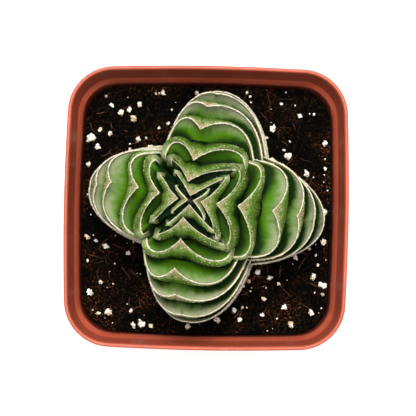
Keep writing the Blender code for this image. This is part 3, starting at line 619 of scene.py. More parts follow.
def glassy_hair(look):
    """The beads along the margin: blunt, glassy hairs, cream to straw."""
    finish, tree, principled = shader("glassy_hair", 0.5, 1.42)
    place = add_node(tree, "ShaderNodeTexCoord", output="Object")
    speck = add_node(tree, "ShaderNodeTexNoise", {"Vector": place, "Scale": 1.2 / MM, "Detail": 2.0})
    shade = add_node(tree, "ShaderNodeMapRange", {"Value": speck, "From Min": 0.4, "From Max": 0.6})
    colour = add_node(tree, "ShaderNodeMix", {0: shade, 6: look.velvet, 7: look.margin}, 2, data_type="RGBA")
    tree.links.new(colour, principled.inputs["Base Color"])
    return finish


def corky_stem(look):
    """The stem: thin grey-brown cork near the soil; above it, under the leaves, it is painted in their
    near-black green shade colour.
    """
    finish, tree, principled = shader("corky_stem", 0.8)
    place = add_node(tree, "ShaderNodeTexCoord", output="Object")
    bark = add_node(tree, "ShaderNodeTexNoise", {"Vector": place, "Scale": 0.9 / MM, "Detail": 4.0})
    cork = add_node(tree, "ShaderNodeMapRange", {"Value": bark, "From Min": 0.42, "From Max": 0.62})
    high = add_node(tree, "ShaderNodeSeparateXYZ", {"Vector": place}, 2)
    barked = add_node(
        tree, "ShaderNodeMapRange",
        {"Value": high, "From Min": SOIL_TOP + 9 * MM, "From Max": SOIL_TOP + 4 * MM},
    )
    cork = add_node(tree, "ShaderNodeMath", {0: cork, 1: barked}, operation="MULTIPLY")
    # Painted shade: where there is no cork, the stem takes the leaves' dark shade colour
    colour = add_node(tree, "ShaderNodeMix", {0: cork, 6: look.deep, 7: look.cork}, 2, data_type="RGBA")
    tree.links.new(colour, principled.inputs["Base Color"])
    relief = add_node(tree, "ShaderNodeBump", {"Height": bark, "Strength": 0.6, "Distance": 0.2 * MM})
    tree.links.new(relief, principled.inputs["Normal"])
    return finish


def studio_floor(look):
    """Seamless white paper with light through it, bright enough that it shows no edge."""
    finish, _, principled = shader("studio_floor", 0.9)
    principled.inputs["Base Color"].default_value = (*look.floor, 1.0)
    principled.inputs["Emission Color"].default_value = (1.0, 1.0, 1.0, 1.0)
    principled.inputs["Emission Strength"].default_value = look.glow
    principled.inputs["Specular IOR Level"].default_value = 0.0
    return finish


def add_piece(name, bm, finishes, nodes=()):
    """Makes a piece of the object from a bmesh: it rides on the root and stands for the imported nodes."""
    mesh = bpy.data.meshes.new(name)
    bm.to_mesh(mesh)
    bm.free()
    for finish in finishes:
        mesh.materials.append(finish)
    mesh.shade_smooth()
    piece = bpy.data.objects.new(name, mesh)
    bpy.context.scene.collection.objects.link(piece)
    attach(piece, "root")
    if nodes:
        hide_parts(*nodes)
    return piece


def square_outline(half, corner, angle):
    """The point at an angle on a square with round corners and slightly bowed sides."""
    turn = round(angle / (math.pi / 2)) * math.pi / 2
    local = angle - turn
    edge = half - corner
    reach = half / math.cos(local)
    if abs(reach * math.sin(local)) > edge:
        lean = math.pi / 4 - abs(local)
        centre = edge * math.sqrt(2)
        away = centre * math.cos(lean) + math.sqrt(max(corner ** 2 - (centre * math.sin(lean)) ** 2, 0.0))
    else:
        bow = SIDE_BOW * math.cos(reach * math.sin(local) / edge * math.pi / 2)
        away = (half + bow) / math.cos(local)
    return Vector((math.cos(angle), math.sin(angle))) * away


def body_half(height):
    top = POT_HEIGHT - COLLAR_HEIGHT
    widest = RIM_HALF - COLLAR_TAPER - COLLAR_STEP
    return FOOT_HALF + (widest - FOOT_HALF) * height / top


def body_corner(height):
    return FOOT_CORNER + (RIM_CORNER - COLLAR_STEP - FOOT_CORNER) * height / POT_HEIGHT


def soil_height(x, y):
    return SOIL_TOP + SOIL_RELIEF * noise.noise(Vector((x, y, 0.0)) / SOIL_WAVE)


def pot_profile():
    """Half width, corner radius and height of each ring, from the foot up the outside and down the inside."""
    collar_foot = POT_HEIGHT - COLLAR_HEIGHT
    lip_foot = POT_HEIGHT - LIP_HEIGHT
    collar_half = RIM_HALF - COLLAR_TAPER
    inner_rim = RIM_HALF - LIP_WIDTH
    inner_corner = RIM_CORNER - LIP_WIDTH
    step_corner = RIM_CORNER - COLLAR_TAPER - WALL
    floor_top = FOOT_RING + FLOOR
    outside = [
        (FOOT_HALF - WALL, FOOT_CORNER - WALL, FOOT_RING),
        (FOOT_HALF - WALL, FOOT_CORNER - WALL, 0.0),
        (FOOT_HALF, FOOT_CORNER, 0.0),
        (body_half(collar_foot / 2), body_corner(collar_foot / 2), collar_foot / 2),
        (body_half(collar_foot), body_corner(collar_foot), collar_foot),
        (collar_half, RIM_CORNER - COLLAR_TAPER / 2, collar_foot + COLLAR_STEP / 2),
        (RIM_HALF - 3 * LIP_BEAD, RIM_CORNER - 3 * LIP_BEAD, lip_foot),
        (RIM_HALF, RIM_CORNER, lip_foot + LIP_BEAD),
        (RIM_HALF, RIM_CORNER, POT_HEIGHT),
    ]
    inside = [
        (inner_rim, inner_corner, POT_HEIGHT),
        (inner_rim - LIP_BEAD, inner_corner - LIP_BEAD, lip_foot),
        (collar_half - WALL, step_corner, collar_foot + COLLAR_STEP),
        (body_half(collar_foot) - WALL, body_corner(collar_foot) - WALL, collar_foot),
        (body_half(SOIL_TOP) - WALL, body_corner(SOIL_TOP) - WALL, SOIL_TOP),
        (body_half(floor_top) - WALL, body_corner(floor_top) - WALL, floor_top),
    ]
    return outside + inside


def extrude_ring(bm, edges, profile):
    """Extrudes a ring of edges through each further ring of a profile."""
    rows = [edges]
    for half, corner, height in profile:
        made = bmesh.ops.extrude_edge_only(bm, edges=rows[-1])["geom"]
        rows.append([item for item in made if isinstance(item, bmesh.types.BMEdge) and item.is_boundary])
        for vert in {vert for edge in rows[-1] for vert in edge.verts}:
            flat = square_outline(half, corner, math.atan2(vert.co.y, vert.co.x))
            vert.co = (flat.x, flat.y, height)
    return rows


def cut_holes(bm, places, radius, depth):
    """Cuts upright round holes with a Boolean on a passing object, and returns the cut mesh as a bmesh."""
    cutter_bm = bmesh.new()
    for place in places:
        bmesh.ops.create_cone(
            cutter_bm, cap_ends=True, segments=40, radius1=radius, radius2=radius, depth=depth,
            matrix=Matrix.Translation(place),
        )
    meshes = []
    holders = []
    for name, source in (("passing_body", bm), ("passing_cutter", cutter_bm)):
        mesh = bpy.data.meshes.new(name)
        source.to_mesh(mesh)
        source.free()
        meshes.append(mesh)
        holders.append(bpy.data.objects.new(name, mesh))
        bpy.context.scene.collection.objects.link(holders[-1])
    cut = holders[0].modifiers.new("holes", "BOOLEAN")
    cut.object = holders[1]
    graph = bpy.context.evaluated_depsgraph_get()
    done = bpy.data.meshes.new_from_object(holders[0].evaluated_get(graph))
    cut_bm = bmesh.new()
    cut_bm.from_mesh(done)
    for holder in holders:
        bpy.data.objects.remove(holder)
    for mesh in [*meshes, done]:
        bpy.data.meshes.remove(mesh)
    return cut_bm


class CRASSULA_OT_pot(bpy.types.Operator):
    """Builds the moulded nursery pot with its lip, collar, raised floor and drain holes"""

    bl_idname = "crassula.pot"
    bl_label = "Nursery Pot"

    def execute(self, context):
        look = context.scene.crassula_pot
        profile = pot_profile()
        bm = bmesh.new()
        bmesh.ops.create_circle(bm, segments=8 * look.ring_steps, radius=FOOT_HALF)
        half, corner, height = profile[0]
        for vert in bm.verts:
            flat = square_outline(half, corner, math.atan2(vert.co.y, vert.co.x))
            vert.co = (flat.x, flat.y, height)
        rows = extrude_ring(bm, list(bm.edges), profile[1:])
        for row in (rows[0], rows[-1]):
            bmesh.ops.contextual_create(bm, geom=row)
        bmesh.ops.recalc_face_normals(bm, faces=bm.faces)
        for edges, width in (
            (rows[7] + rows[8] + rows[9], LIP_ROUNDING),
            (rows[4] + rows[5] + rows[11], STEP_ROUNDING),
            (rows[2] + rows[1], FOOT_ROUNDING),
        ):
            bmesh.ops.bevel(
                bm, geom=[edge for edge in edges if edge.is_valid], offset=width, segments=3, profile=0.5,
                affect="EDGES", material=-1,
            )
        places = [Vector((0.0, 0.0, FOOT_RING))]
        places += [Vector((x * DRAIN_OFFSET, y * DRAIN_OFFSET, FOOT_RING)) for x in (-1, 1) for y in (-1, 1)]
        bm = cut_holes(bm, places, DRAIN_RADIUS, 4 * FLOOR)
        for face in bm.faces:
            middle = face.calc_center_median()
            if face.normal.xy.dot(middle.xy) < 0 and FOOT_RING + FLOOR < middle.z < POT_HEIGHT - LIP_HEIGHT:
                face.material_index = 1
        finishes = [moulded_polypropylene(look), moulded_polypropylene(look, recess_shade=True)]
        piece = add_piece("nursery_pot", bm, finishes, ["pot"])
        piece.data.set_sharp_from_angle(angle=math.radians(40))
        return {"FINISHED"}


def soil_edge(x, y, clearance=0.0):
    """How far the soil reaches from the middle in a point's direction."""
    angle = math.atan2(y, x)
    inset = WALL + GAP + clearance
    return square_outline(body_half(SOIL_TOP) - inset, body_corner(SOIL_TOP) - inset, angle).length


def crumbly(x, y):
    """The soil's surface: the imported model's hummocks, with crumbs and hollows on them."""
    place = Vector((x, y, 0.0)) / MM
    lumps = noise.noise(place / 1.9 + Vector((3.1, 7.7, 1.3)))
    crumbs = noise.noise(place / 0.75 + Vector((9.4, 2.2, 5.1)))
    grit = noise.noise(place / 0.36 + Vector((1.4, 8.2, 0.7)))
    return soil_height(x, y) + (0.32 * lumps + 0.2 * crumbs + 0.1 * grit - 0.08) * MM


class CRASSULA_OT_soil(bpy.types.Operator):
    """Builds the peat that fills the pot, with a crumbly surface"""

    bl_idname = "crassula.soil"
    bl_label = "Peat"

    steps: IntProperty(
        name="Steps", description="Faces along each side of the surface", default=200, min=10, max=400,
    )

    def execute(self, context):
        bm = bmesh.new()
        bmesh.ops.create_grid(bm, x_segments=self.steps, y_segments=self.steps, size=1.0)
        for vert in bm.verts:
            x, y = vert.co.x, vert.co.y
            part = max(abs(x), abs(y))
            if part:
                away = part * soil_edge(x, y) / math.hypot(x, y)
                x, y = x * away, y * away
            vert.co = (x, y, crumbly(x, y))
        edges = [edge for edge in bm.edges if edge.is_boundary]
        for height in (SOIL_TOP - 1.5 * MM, (POT_HEIGHT - COLLAR_HEIGHT) / 2, FOOT_RING + FLOOR + GAP):
            made = bmesh.ops.extrude_edge_only(bm, edges=edges)["geom"]
            edges = [item for item in made if isinstance(item, bmesh.types.BMEdge) and item.is_boundary]
            inset = WALL + GAP
            for vert in {vert for edge in edges for vert in edge.verts}:
                angle = math.atan2(vert.co.y, vert.co.x)
                flat = square_outline(body_half(height) - inset, body_corner(height) - inset, angle)
                vert.co = (flat.x, flat.y, height)
        bmesh.ops.contextual_create(bm, geom=edges)
        bmesh.ops.recalc_face_normals(bm, faces=bm.faces)
        add_piece("peat", bm, [damp_peat(context.scene.crassula_soil)], ["soil"])
        return {"FINISHED"}


def lump(bm, rng, place, radius, subdivisions, roughness, flat=0.7):
    """An irregular grain: a sphere of triangles, squashed, turned and pushed in and out by noise."""
    made = bmesh.ops.create_icosphere(bm, subdivisions=subdivisions, radius=1.0)["verts"]
    squash = Matrix.Diagonal([rng.uniform(flat, 1.0) for _ in range(3)]).to_4x4()
    turn = Matrix.Rotation(rng.uniform(0, math.tau), 4, Vector([rng.gauss(0, 1) for _ in range(3)]))
    offset = Vector([rng.uniform(-50, 50) for _ in range(3)])
    for vert in made:
        push = 1 + roughness * noise.noise(vert.co * 1.3 + offset)
        push += roughness * 0.5 * noise.noise(vert.co * 3 + offset)
        vert.co = Matrix.Translation(place) @ (turn @ (squash @ (vert.co * push * radius)))


def scatter(rng, count, clearance):
    """Random places on the soil, clear of the wall and of the stem."""
    half = body_half(SOIL_TOP)
    places = []
    while len(places) < count:
        x, y = rng.uniform(-half, half), rng.uniform(-half, half)
        if STEM_CLEARING < math.hypot(x, y) < soil_edge(x, y, clearance):
            places.append((x, y))
    return places


class CRASSULA_OT_perlite(bpy.types.Operator):
    """Builds the perlite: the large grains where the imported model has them, and fines between them"""

    bl_idname = "crassula.perlite"
    bl_label = "Perlite"

    def execute(self, context):
        look = context.scene.crassula_soil
        rng = random.Random(SEED)
        bm = bmesh.new()
        for x, y, radius in LARGE_GRAINS:
            x, y, radius = x * MM, y * MM, radius * MM
            place = Vector((x, y, crumbly(x, y) + 0.25 * radius))
            lump(bm, rng, place, radius * 1.05, 3, 0.9, 0.6)
        for x, y in scatter(rng, look.fines, 0.5 * MM):
            radius = rng.uniform(0.12, 0.36) * MM * rng.choice((0.7, 1.0, 1.0))
            lump(bm, rng, Vector((x, y, crumbly(x, y) + 0.1 * MM)), radius, 2, 0.8, 0.5)
        add_piece("perlite", bm, [expanded_perlite(look)])
        return {"FINISHED"}


def strand(bm, rng, start, heading, length, radius):
    """A thin fibre that wanders over the soil: a small ring extruded step by step."""
    steps = 5
    sides = 4
    ring = bmesh.ops.create_circle(bm, segments=sides, radius=radius, cap_ends=False)["verts"]
    edges = list({edge for vert in ring for edge in vert.link_edges})
    place = start.copy()
    for step in range(steps + 1):
        heading += rng.uniform(-0.45, 0.45)
        along = Vector((math.cos(heading), math.sin(heading), 0.0))
        across = Vector((-along.y, along.x, 0.0))
        place = place + along * (length / steps)
        place.z = crumbly(place.x, place.y) + radius * 1.5 + rng.uniform(0.0, 0.25) * MM
        if step:
            made = bmesh.ops.extrude_edge_only(bm, edges=edges)["geom"]
            edges = [item for item in made if isinstance(item, bmesh.types.BMEdge) and item.is_boundary]
            ring = [item for item in made if isinstance(item, bmesh.types.BMVert)]
        taper = 1 - 0.7 * abs(2 * step / steps - 1) ** 2
        for index, vert in enumerate(ring):
            turn = index / sides * math.tau
            vert.co = place + (across * math.cos(turn) + Vector((0, 0, 1)) * math.sin(turn)) * radius * taper


class CRASSULA_OT_crumbs(bpy.types.Operator):
    """Builds the loose crumbs of peat and the brown fibres on the soil"""

    bl_idname = "crassula.crumbs"
    bl_label = "Crumbs and Fibres"

    def execute(self, context):
        look = context.scene.crassula_soil
        rng = random.Random(SEED + 1)
        bm = bmesh.new()
        for x, y in scatter(rng, look.crumbs, 0.6 * MM):
            radius = rng.uniform(0.12, 0.42) * MM
            lump(bm, rng, Vector((x, y, crumbly(x, y) + 0.2 * radius)), radius, 1, 0.6, 0.45)
        add_piece("peat_crumbs", bm, [damp_peat(look)])
        bm = bmesh.new()
        for x, y in scatter(rng, look.fibres, 3.0 * MM):
            length = rng.uniform(1.2, 4.5) * MM
            start = Vector((x, y, 0.0))
            strand(bm, rng, start, rng.uniform(0, math.tau), length, rng.uniform(0.045, 0.1) * MM)
        bmesh.ops.holes_fill(bm, edges=[edge for edge in bm.edges if edge.is_boundary], sides=4)
        bmesh.ops.recalc_face_normals(bm, faces=bm.faces)
        add_piece("peat_fibres", bm, [dry_fibre(look)])
        return {"FINISHED"}


def spacing(level):
    return FIRST_SPACING + SPACING_GROWTH * (level - 1)


def level_height(level):
    return LOWEST_LEAF + sum(spacing(upper) for upper in range(level, LEVELS))


def apex_height():
    return level_height(1)


def axis_at(height):
    """The stem's centre line seen from above: it leans, most of all near the soil, and bends a little."""
    part = (height - LOWEST_LEAF) / (apex_height() - LOWEST_LEAF)
    part = min(max(part, 0.0), 1.0)
    place = APEX + Vector((LEAN * (1 - part) ** 2, 0.0))
    for bend, at, span in BENDS:
        place += bend * math.exp(-(((part - at) / span) ** 2))
    return place


def stem_radius(height):
    part = (height - SOIL_TOP) / (apex_height() - SOIL_TOP)
    part = min(max(part, 0.0), 1.0)
    return STEM_RADIUS[1] + (STEM_RADIUS[0] - STEM_RADIUS[1]) * part


class CRASSULA_OT_stem(bpy.types.Operator):
    """Builds the leaning stem, ringed where leaves join it"""

    bl_idname = "crassula.stem"
    bl_label = "Stem"

    rings: IntProperty(name="Rings", description="Rings along the stem", default=70, min=8, max=400)

    def execute(self, context):
        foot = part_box("stem")[0].z
        bm = bmesh.new()
        bmesh.ops.create_circle(bm, segments=28, radius=1.0)
        edges = list(bm.edges)
        ring = list(bm.verts)
        turns = [math.atan2(vert.co.y, vert.co.x) for vert in ring]
        bottom = list(bm.edges)
        for step in range(self.rings + 1):
            height = foot + (apex_height() - foot) * step / self.rings
            if step:
                made = bmesh.ops.extrude_edge_only(bm, edges=edges)["geom"]
                edges = [item for item in made if isinstance(item, bmesh.types.BMEdge) and item.is_boundary]
                ring = [item for item in made if isinstance(item, bmesh.types.BMVert)]
            centre = axis_at(height)
            for vert, turn in zip(ring, turns):
                scar = 0.05 * math.cos(height / (1.2 * MM) * math.tau) + 0.05 * noise.noise(
                    Vector((math.cos(turn), math.sin(turn), height / MM)))
                radius = stem_radius(height) * (0.93 + scar)
                vert.co = (centre.x + radius * math.cos(turn), centre.y + radius * math.sin(turn), height)
        for row in (bottom, edges):
            bmesh.ops.contextual_create(bm, geom=row)
        bmesh.ops.recalc_face_normals(bm, faces=bm.faces)
        add_piece("corky_stem", bm, [corky_stem(context.scene.crassula_leaf)], ["stem"])
        return {"FINISHED"}


def bezier(points, part):
    """A Bezier curve's point, by repeated mixing."""
    while len(points) > 1:
        points = [a.lerp(b, part) for a, b in zip(points, points[1:])]
    return points[0]


def by_level(change, level):
    """A skew at a level, between its first value and its last."""
    young, old, first, last = change
    part = min(max((level - first) / (last - first), 0.0), 1.0)
    return young + (old - young) * part


def arm_degrees(arm_angle):
    """An arm's direction as a whole number of degrees from 0 to 270."""
    return round(math.degrees(arm_angle)) % 360


def flank_width(level, side, arm_angle):
    """The half width on one side of a leaf."""
    across = arm_angle + side * math.pi / 2
    skew = by_level(SIDE_SKEW, level) * math.cos(across) - by_level(FRONT_SKEW, level) * math.sin(across)
    skew += by_level(ARM_WIDTH, level) * math.cos(arm_angle)
    short = SHORT_FLANKS.get((level, arm_degrees(arm_angle), side), 0.0)
    return (HALF_WIDTH[level - 1] * (1 + skew) - short) * MM


def corner_place(level, side, arm_angle):
    """Where the margin turns back at the crossed leaf above, seen from above."""
    crossed = flank_width(max(level - 1, 1), -side, arm_angle + side * math.pi / 2)
    beside = CORNER_REACH * HALF_WIDTH[level - 1] * MM
    reach = beside + (CORNER_TUCK * crossed - beside) * by_level(CORNER_SLIDE, level)
    return Vector((reach, side * flank_width(level, side, arm_angle), 0.0))


def leaf_thickness(level):
    return max(LEAF_THICKNESS * spacing(level), MARGIN_THICKNESS)


def base_radius(level):
    """How far from the centre line a leaf starts, clear of the leaning stem through its whole thickness."""
    height = level_height(level)
    foot = height - leaf_thickness(level)
    return stem_radius(foot) + (axis_at(height) - axis_at(foot)).length + GAP


def margin_plan(level, side, arm_angle, out):
    """The margin seen from above: tip, lobe and shoulder to the corner, then back to the stem."""
    index = level - 1
    longer = by_level(FRONT_REACH, level) * MM * max(0.0, -math.sin(arm_angle))
    reach = TIP_REACH[index] * MM + longer
    width = flank_width(level, side, arm_angle)
    corner = corner_place(level, side, arm_angle)
    if out <= CORNER_AT:
        fullness = by_level(ARM_FULLNESS, level) * math.cos(arm_angle)
        lead = LOBE_LEAD[index] * MM * (1 + 2 * fullness)
        shoulder_x = SHOULDER_REACH[index] * MM * (1 + fullness) + longer
        shoulder_y = SHOULDER_SPREAD[index] * width * (1 + fullness)
        tip = Vector((reach, TIP_SHIFTS.get((level, arm_degrees(arm_angle)), 0.0) * MM, 0.0))
        lobe = Vector((reach + lead, tip.y + side * LOBE_SPREAD * width, 0.0))
        shoulder = Vector((shoulder_x, side * shoulder_y, 0.0))
        return bezier([tip, lobe, shoulder, corner], out / CORNER_AT)
    end = Vector((math.cos(BASE_ANGLE), side * math.sin(BASE_ANGLE), 0.0)) * (base_radius(level) + BASE_FLANK)
    return corner.lerp(end, (out - CORNER_AT) / (1 - CORNER_AT))


def margin_rise(level, out):
    """The margin's height over the leaf's base: highest at the tip, low at the corner, none after it."""
    top, loss, least = CORNER_RISE
    corner_rise = max(least, top - loss * level)
    if out <= CORNER_AT:
        part = corner_rise + (1 - corner_rise) * (0.5 + 0.5 * math.cos(math.pi * out / CORNER_AT))
    else:
        part = corner_rise * max(0.0, 1 - 2 * (out - CORNER_AT) / (1 - CORNER_AT))
    part *= 1 + TIP_LIFT * math.exp(-((out / TIP_LIFT_SPAN) ** 2))
    return RISE[level - 1] * MM * part


def arm_lean(level, arm_angle):
    """The part of its level's lean that a leaf has: all of it, but on the left arm."""
    return by_level(LEFT_LEAN, level) if math.cos(arm_angle) < -0.5 else 1.0


def leaf_surface(level, arm_angle, across, along):
    """A point of a leaf's upper face.

    across runs from flank to flank, -1 to 1, and along from the stem to the margin, 0 to 1.
    """
    side = 1 if across >= 0 else -1
    out = abs(across)  # 0 on the midline and 1 where the margin meets the stem
    index = level - 1
    base_turn = side * out * BASE_ANGLE
    base = Vector((math.cos(base_turn), math.sin(base_turn), 0.0)) * base_radius(level)
    margin = margin_plan(level, side, arm_angle, out)
    lean = LOBE_LEAN[index] + (TIP_LEAN[index] - LOBE_LEAN[index]) * math.exp(-((out / TIP_LEAN_SPAN) ** 2))
    lean *= MM * max(0.0, 1 - out / CORNER_AT) * arm_lean(level, arm_angle)
    rounded = margin_plan(level, side, arm_angle, math.hypot(out, KEEL_ROUNDING * max(0.0, 1 - out)))
    belly = max(max(margin.x, rounded.x) - base.x + lean, LEAST_BELLY)
    heel_x = base.x + belly * (1 + math.sqrt(lean / belly))
    heel = Vector((heel_x, base.y + HEEL_SPREAD * (margin.y - base.y), 0.0))
    margin.z = margin_rise(level, out)
    return bezier([base, heel, margin], along)


class LeafMaker:
    """Builds one leaf: an upper face, an outer face under it, a rounded margin between them, and its beads.

    Each point notes its run along the margin from the tip, how far it lies inwards from the margin's crest,
    how far clear of the leaves above it, all in millimetres, the leaf's age from 0 to 1, and its place
    between the tip, 0, and the corner, 1.
    """

    ACROSS_STEPS = 96
    ALONG_STEPS = 14
    COVER_STEPS = 24
    ROW_CROWDING = 1.3  # rows lie closer together near the margin
    THINS_FROM = 0.5  # along the leaf, where it starts to thin out towards its margin
    PADDED = (1.0, 0.0, 5, 9)  # young leaves have thick ends at their corners
    ROUNDING = 38.0  # of the margin's thickness, in per cent
    ROUNDED_TO = 1.1  # of the way to the corner
    UPPER, OUTER, MARGIN = range(3)

    def __init__(self, level, arm_angle, look):
        self.level = level
        self.arm_angle = arm_angle
        self.look = look
        self.place = Matrix.Translation((*axis_at(level_height(level)), level_height(level)))
        self.place = self.place @ Matrix.Rotation(arm_angle + ARM_TURN, 4, "Z")
        self.bm = bmesh.new()
        self.map = self.bm.loops.layers.uv.new("leaf")
        layers = self.bm.verts.layers.float
        self.age, self.run, self.inwards, self.clear, self.flank = [
            layers.new(name) for name in ("age", "run", "inwards", "clear", "flank")
        ]
        self.rng = random.Random(SEED * 1000 + level * 10 + round(arm_angle))
        self.covers = []
        if level > 1:
            self.covers += [self.cover(level - 1, math.pi / 2), self.cover(level - 1, -math.pi / 2)]
        if level > 2:
            self.covers.append(self.cover(level - 2, 0.0))

    def cover(self, level, turn):
        """The outline of a leaf above: directions from this leaf's midline, and the reach in each."""
        thick = leaf_thickness(level) + LOBE_LEAN[level - 1] * MM * arm_lean(level, self.arm_angle + turn)
        outline = []
        for step in range(-self.COVER_STEPS, self.COVER_STEPS + 1):
            side = 1 if step >= 0 else -1
            point = margin_plan(level, side, self.arm_angle + turn, abs(step) / self.COVER_STEPS * CORNER_AT)
            outline.append((math.atan2(point.y, point.x) + turn, point.length + thick))
        return sorted(outline)

    def clearance(self, point):
        """How far a point stands out from under the leaves above it."""
        direction = math.atan2(point.y, point.x)
        covered = 0.0
        for outline in self.covers:
            index = bisect(outline, (direction,))
            if 0 < index < len(outline):
                (start, first), (end, second) = outline[index - 1:index + 1]
                part = (direction - start) / max(end - start, 1e-6)
                covered = max(covered, first + (second - first) * part)
        return math.hypot(point.x, point.y) - covered

    def row(self, step):
        return 1 - (1 - step / self.ALONG_STEPS) ** self.ROW_CROWDING

    def thickness(self, along, flank):
        """Full near the stem, thinner towards the margin, and a pad at the corners of young leaves."""
        inner = smooth_step(along, self.THINS_FROM, 1.0)
        full = leaf_thickness(self.level) - 0.04 * MM
        end = smooth_step(flank, 0.15, 0.85) * smooth_step(flank, 1.25, 1.0)
        pad = self.look.pad_width * min(1.0, 0.2 * self.level) * by_level(self.PADDED, self.level)
        margin = self.look.margin_width + max(pad - self.look.margin_width, 0.0) * end
        return full + (margin - full) * inner

    def upper_face(self):
        """Maps a grid onto the leaf's surface and notes each point's place on it."""
        bmesh.ops.create_grid(self.bm, x_segments=self.ALONG_STEPS, y_segments=self.ACROSS_STEPS, size=1.0)
        columns = {}
        self.along = {}
        for vert in self.bm.verts:
            across = vert.co.y
            step = round((vert.co.x + 1) / 2 * self.ALONG_STEPS)
            vert.co = leaf_surface(self.level, self.arm_angle, across, self.row(step))
            columns.setdefault(round((across + 1) / 2 * self.ACROSS_STEPS), {})[step] = vert
            self.along[vert] = self.row(step)
            vert[self.age] = (self.level - 1) / (LEVELS - 1)
            vert[self.flank] = abs(across) / CORNER_AT
            vert[self.clear] = self.clearance(vert.co) / MM
        middle = self.ACROSS_STEPS // 2
        last = self.ALONG_STEPS
        for direction in (-1, 1):
            run = 0.0
            for index in range(middle, middle + direction * (middle + 1), direction):
                column = columns[index]
                if index != middle:
                    run += (column[last].co - columns[index - direction][last].co).length
                inwards = 0.0
                for step in range(last, -1, -1):
                    if step < last:
                        inwards += (column[step].co - column[step + 1].co).length
                    column[step][self.run] = direction * run / MM
                    column[step][self.inwards] = inwards / MM
        self.margin = [columns[index][last] for index in range(self.ACROSS_STEPS + 1)]

    def outer_face(self):
        """Copies the upper face, sets the copy off by the leaf's thickness and joins their edges."""
        self.bm.normal_update()
        upper = list(self.bm.faces)
        rim = [edge for edge in self.bm.edges if edge.is_boundary]
        copied = bmesh.ops.duplicate(self.bm, geom=list(self.bm.verts) + list(self.bm.edges) + upper)
        pairs = copied["vert_map"]
        self.lower = {}
        for vert, along in self.along.items():
            twin = pairs[vert]
            depth = self.thickness(along, vert[self.flank])
            twin.co = vert.co - vert.normal * depth
            twin[self.inwards] = vert[self.inwards] + depth / MM
            self.lower[vert] = twin
        lower_faces = [item for item in copied["geom"] if isinstance(item, bmesh.types.BMFace)]
        bmesh.ops.reverse_faces(self.bm, faces=lower_faces)
        for face in upper:
            face.material_index = self.UPPER
        for face in lower_faces:
            face.material_index = self.OUTER
        twins = set(pairs[vert] for vert in self.along)
        low_rim = [edge for edge in self.bm.edges if edge.is_boundary and edge.verts[0] in twins]
        made = bmesh.ops.bridge_loops(self.bm, edges=rim + low_rim)["faces"]
        for face in made:
            face.material_index = self.MARGIN

    def note_margin(self):
        """Keeps each margin point with its ways out of the leaf and through the margin, for the beads."""
        self.spots = []
        for vert in self.margin:
            inner = min(
                (edge.other_vert(vert) for edge in vert.link_edges if edge.other_vert(vert) in self.along),
                key=lambda other: self.along[other],
            )
            outwards = (vert.co - inner.co).normalized()
            self.spots.append((vert.co.copy(), outwards, self.lower[vert].co - vert.co))

    def round_margin(self):
        """Rounds both edges of the margin, a little past the corners, and gives it the outer finish."""
        middle = self.ACROSS_STEPS // 2
        shown = middle * CORNER_AT * self.ROUNDED_TO
        kept = {vert for index, vert in enumerate(self.margin) if abs(index - middle) <= shown}
        kept |= {self.lower[vert] for vert in kept}
        edges = []
        for edge in self.bm.edges:
            if edge.verts[0] in kept and edge.verts[1] in kept:
                indices = {face.material_index for face in edge.link_faces}
                if len(indices) == 2 and self.MARGIN in indices:
                    edges.append(edge)
        bmesh.ops.bevel(
            self.bm, geom=edges, offset=self.ROUNDING, offset_type="PERCENT", segments=2, profile=0.5,
            affect="EDGES", material=self.MARGIN, clamp_overlap=True,
        )
        for face in self.bm.faces:
            if face.material_index == self.MARGIN:
                face.material_index = self.OUTER

    def add_beads(self):
        """Sets glassy beads along the margin's crest and beside it, drawn coarser than the real hairs."""
        middle = self.ACROSS_STEPS // 2
        shown = math.floor(middle * CORNER_AT)
        for direction in (-1, 1):
            travelled = self.rng.uniform(0, self.look.bead_pitch)
            for index in range(shown):
                here = self.spots[middle + direction * index]
                there = self.spots[middle + direction * (index + 1)]
                length = (there[0] - here[0]).length
                while travelled < length:
                    part = travelled / length
                    self.bead_at(*[a.lerp(b, part) for a, b in zip(here, there)])
                    travelled += self.look.bead_pitch * self.rng.uniform(0.75, 1.3)
                travelled -= length

    def bead_at(self, crest, outwards, through):
        radius = self.look.bead_radius * self.rng.uniform(0.55, 1.0) * min(1.0, 0.55 + 0.06 * self.level)
        depth = min(through.length, 0.3 * MM) * self.rng.uniform(0.1, 0.8)
        self.bead(crest + through.normalized() * depth + outwards * 0.5 * radius, radius)
        if self.rng.random() < 0.5:
            back = outwards * self.rng.uniform(0.1, 0.8) * MM
            self.bead(crest + through - back, self.look.bead_radius * self.rng.uniform(0.35, 0.7))

    def bead(self, place, radius):
        made = bmesh.ops.create_icosphere(
            self.bm, subdivisions=1, radius=radius, matrix=Matrix.Translation(place),
        )["verts"]
        for face in {face for vert in made for face in vert.link_faces}:
            face.material_index = self.MARGIN

    def build(self, name, finishes):
        self.upper_face()
        self.outer_face()
        self.note_margin()
        self.round_margin()
        bmesh.ops.recalc_face_normals(self.bm, faces=self.bm.faces)
        self.add_beads()
        for face in self.bm.faces:
            for loop in face.loops:
                loop[self.map].uv = (loop.vert[self.run] * UV_PER_MM, loop.vert[self.inwards] * UV_PER_MM)
        self.bm.transform(self.place)
        return add_piece(name, self.bm, finishes)


class CRASSULA_OT_leaves(bpy.types.Operator):
    """Builds the crossed pairs of leaves, each from its own outline"""

    bl_idname = "crassula.leaves"
    bl_label = "Leaves"

    def execute(self, context):
        look = context.scene.crassula_leaf
        finishes = [waxy_leaf(look), velvet_leaf(look), glassy_hair(look)]
        for level in range(1, LEVELS + 1):
            first = (level - 1) % 2
            for arm, degrees in (ARM_NAMES[first], ARM_NAMES[first + 2]):
                maker = LeafMaker(level, math.radians(degrees), look)
                piece = maker.build(f"blade_{level:02d}_{arm}", finishes)
                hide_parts(f"leaf_{level:02d}_{arm}")
        return {"FINISHED"}


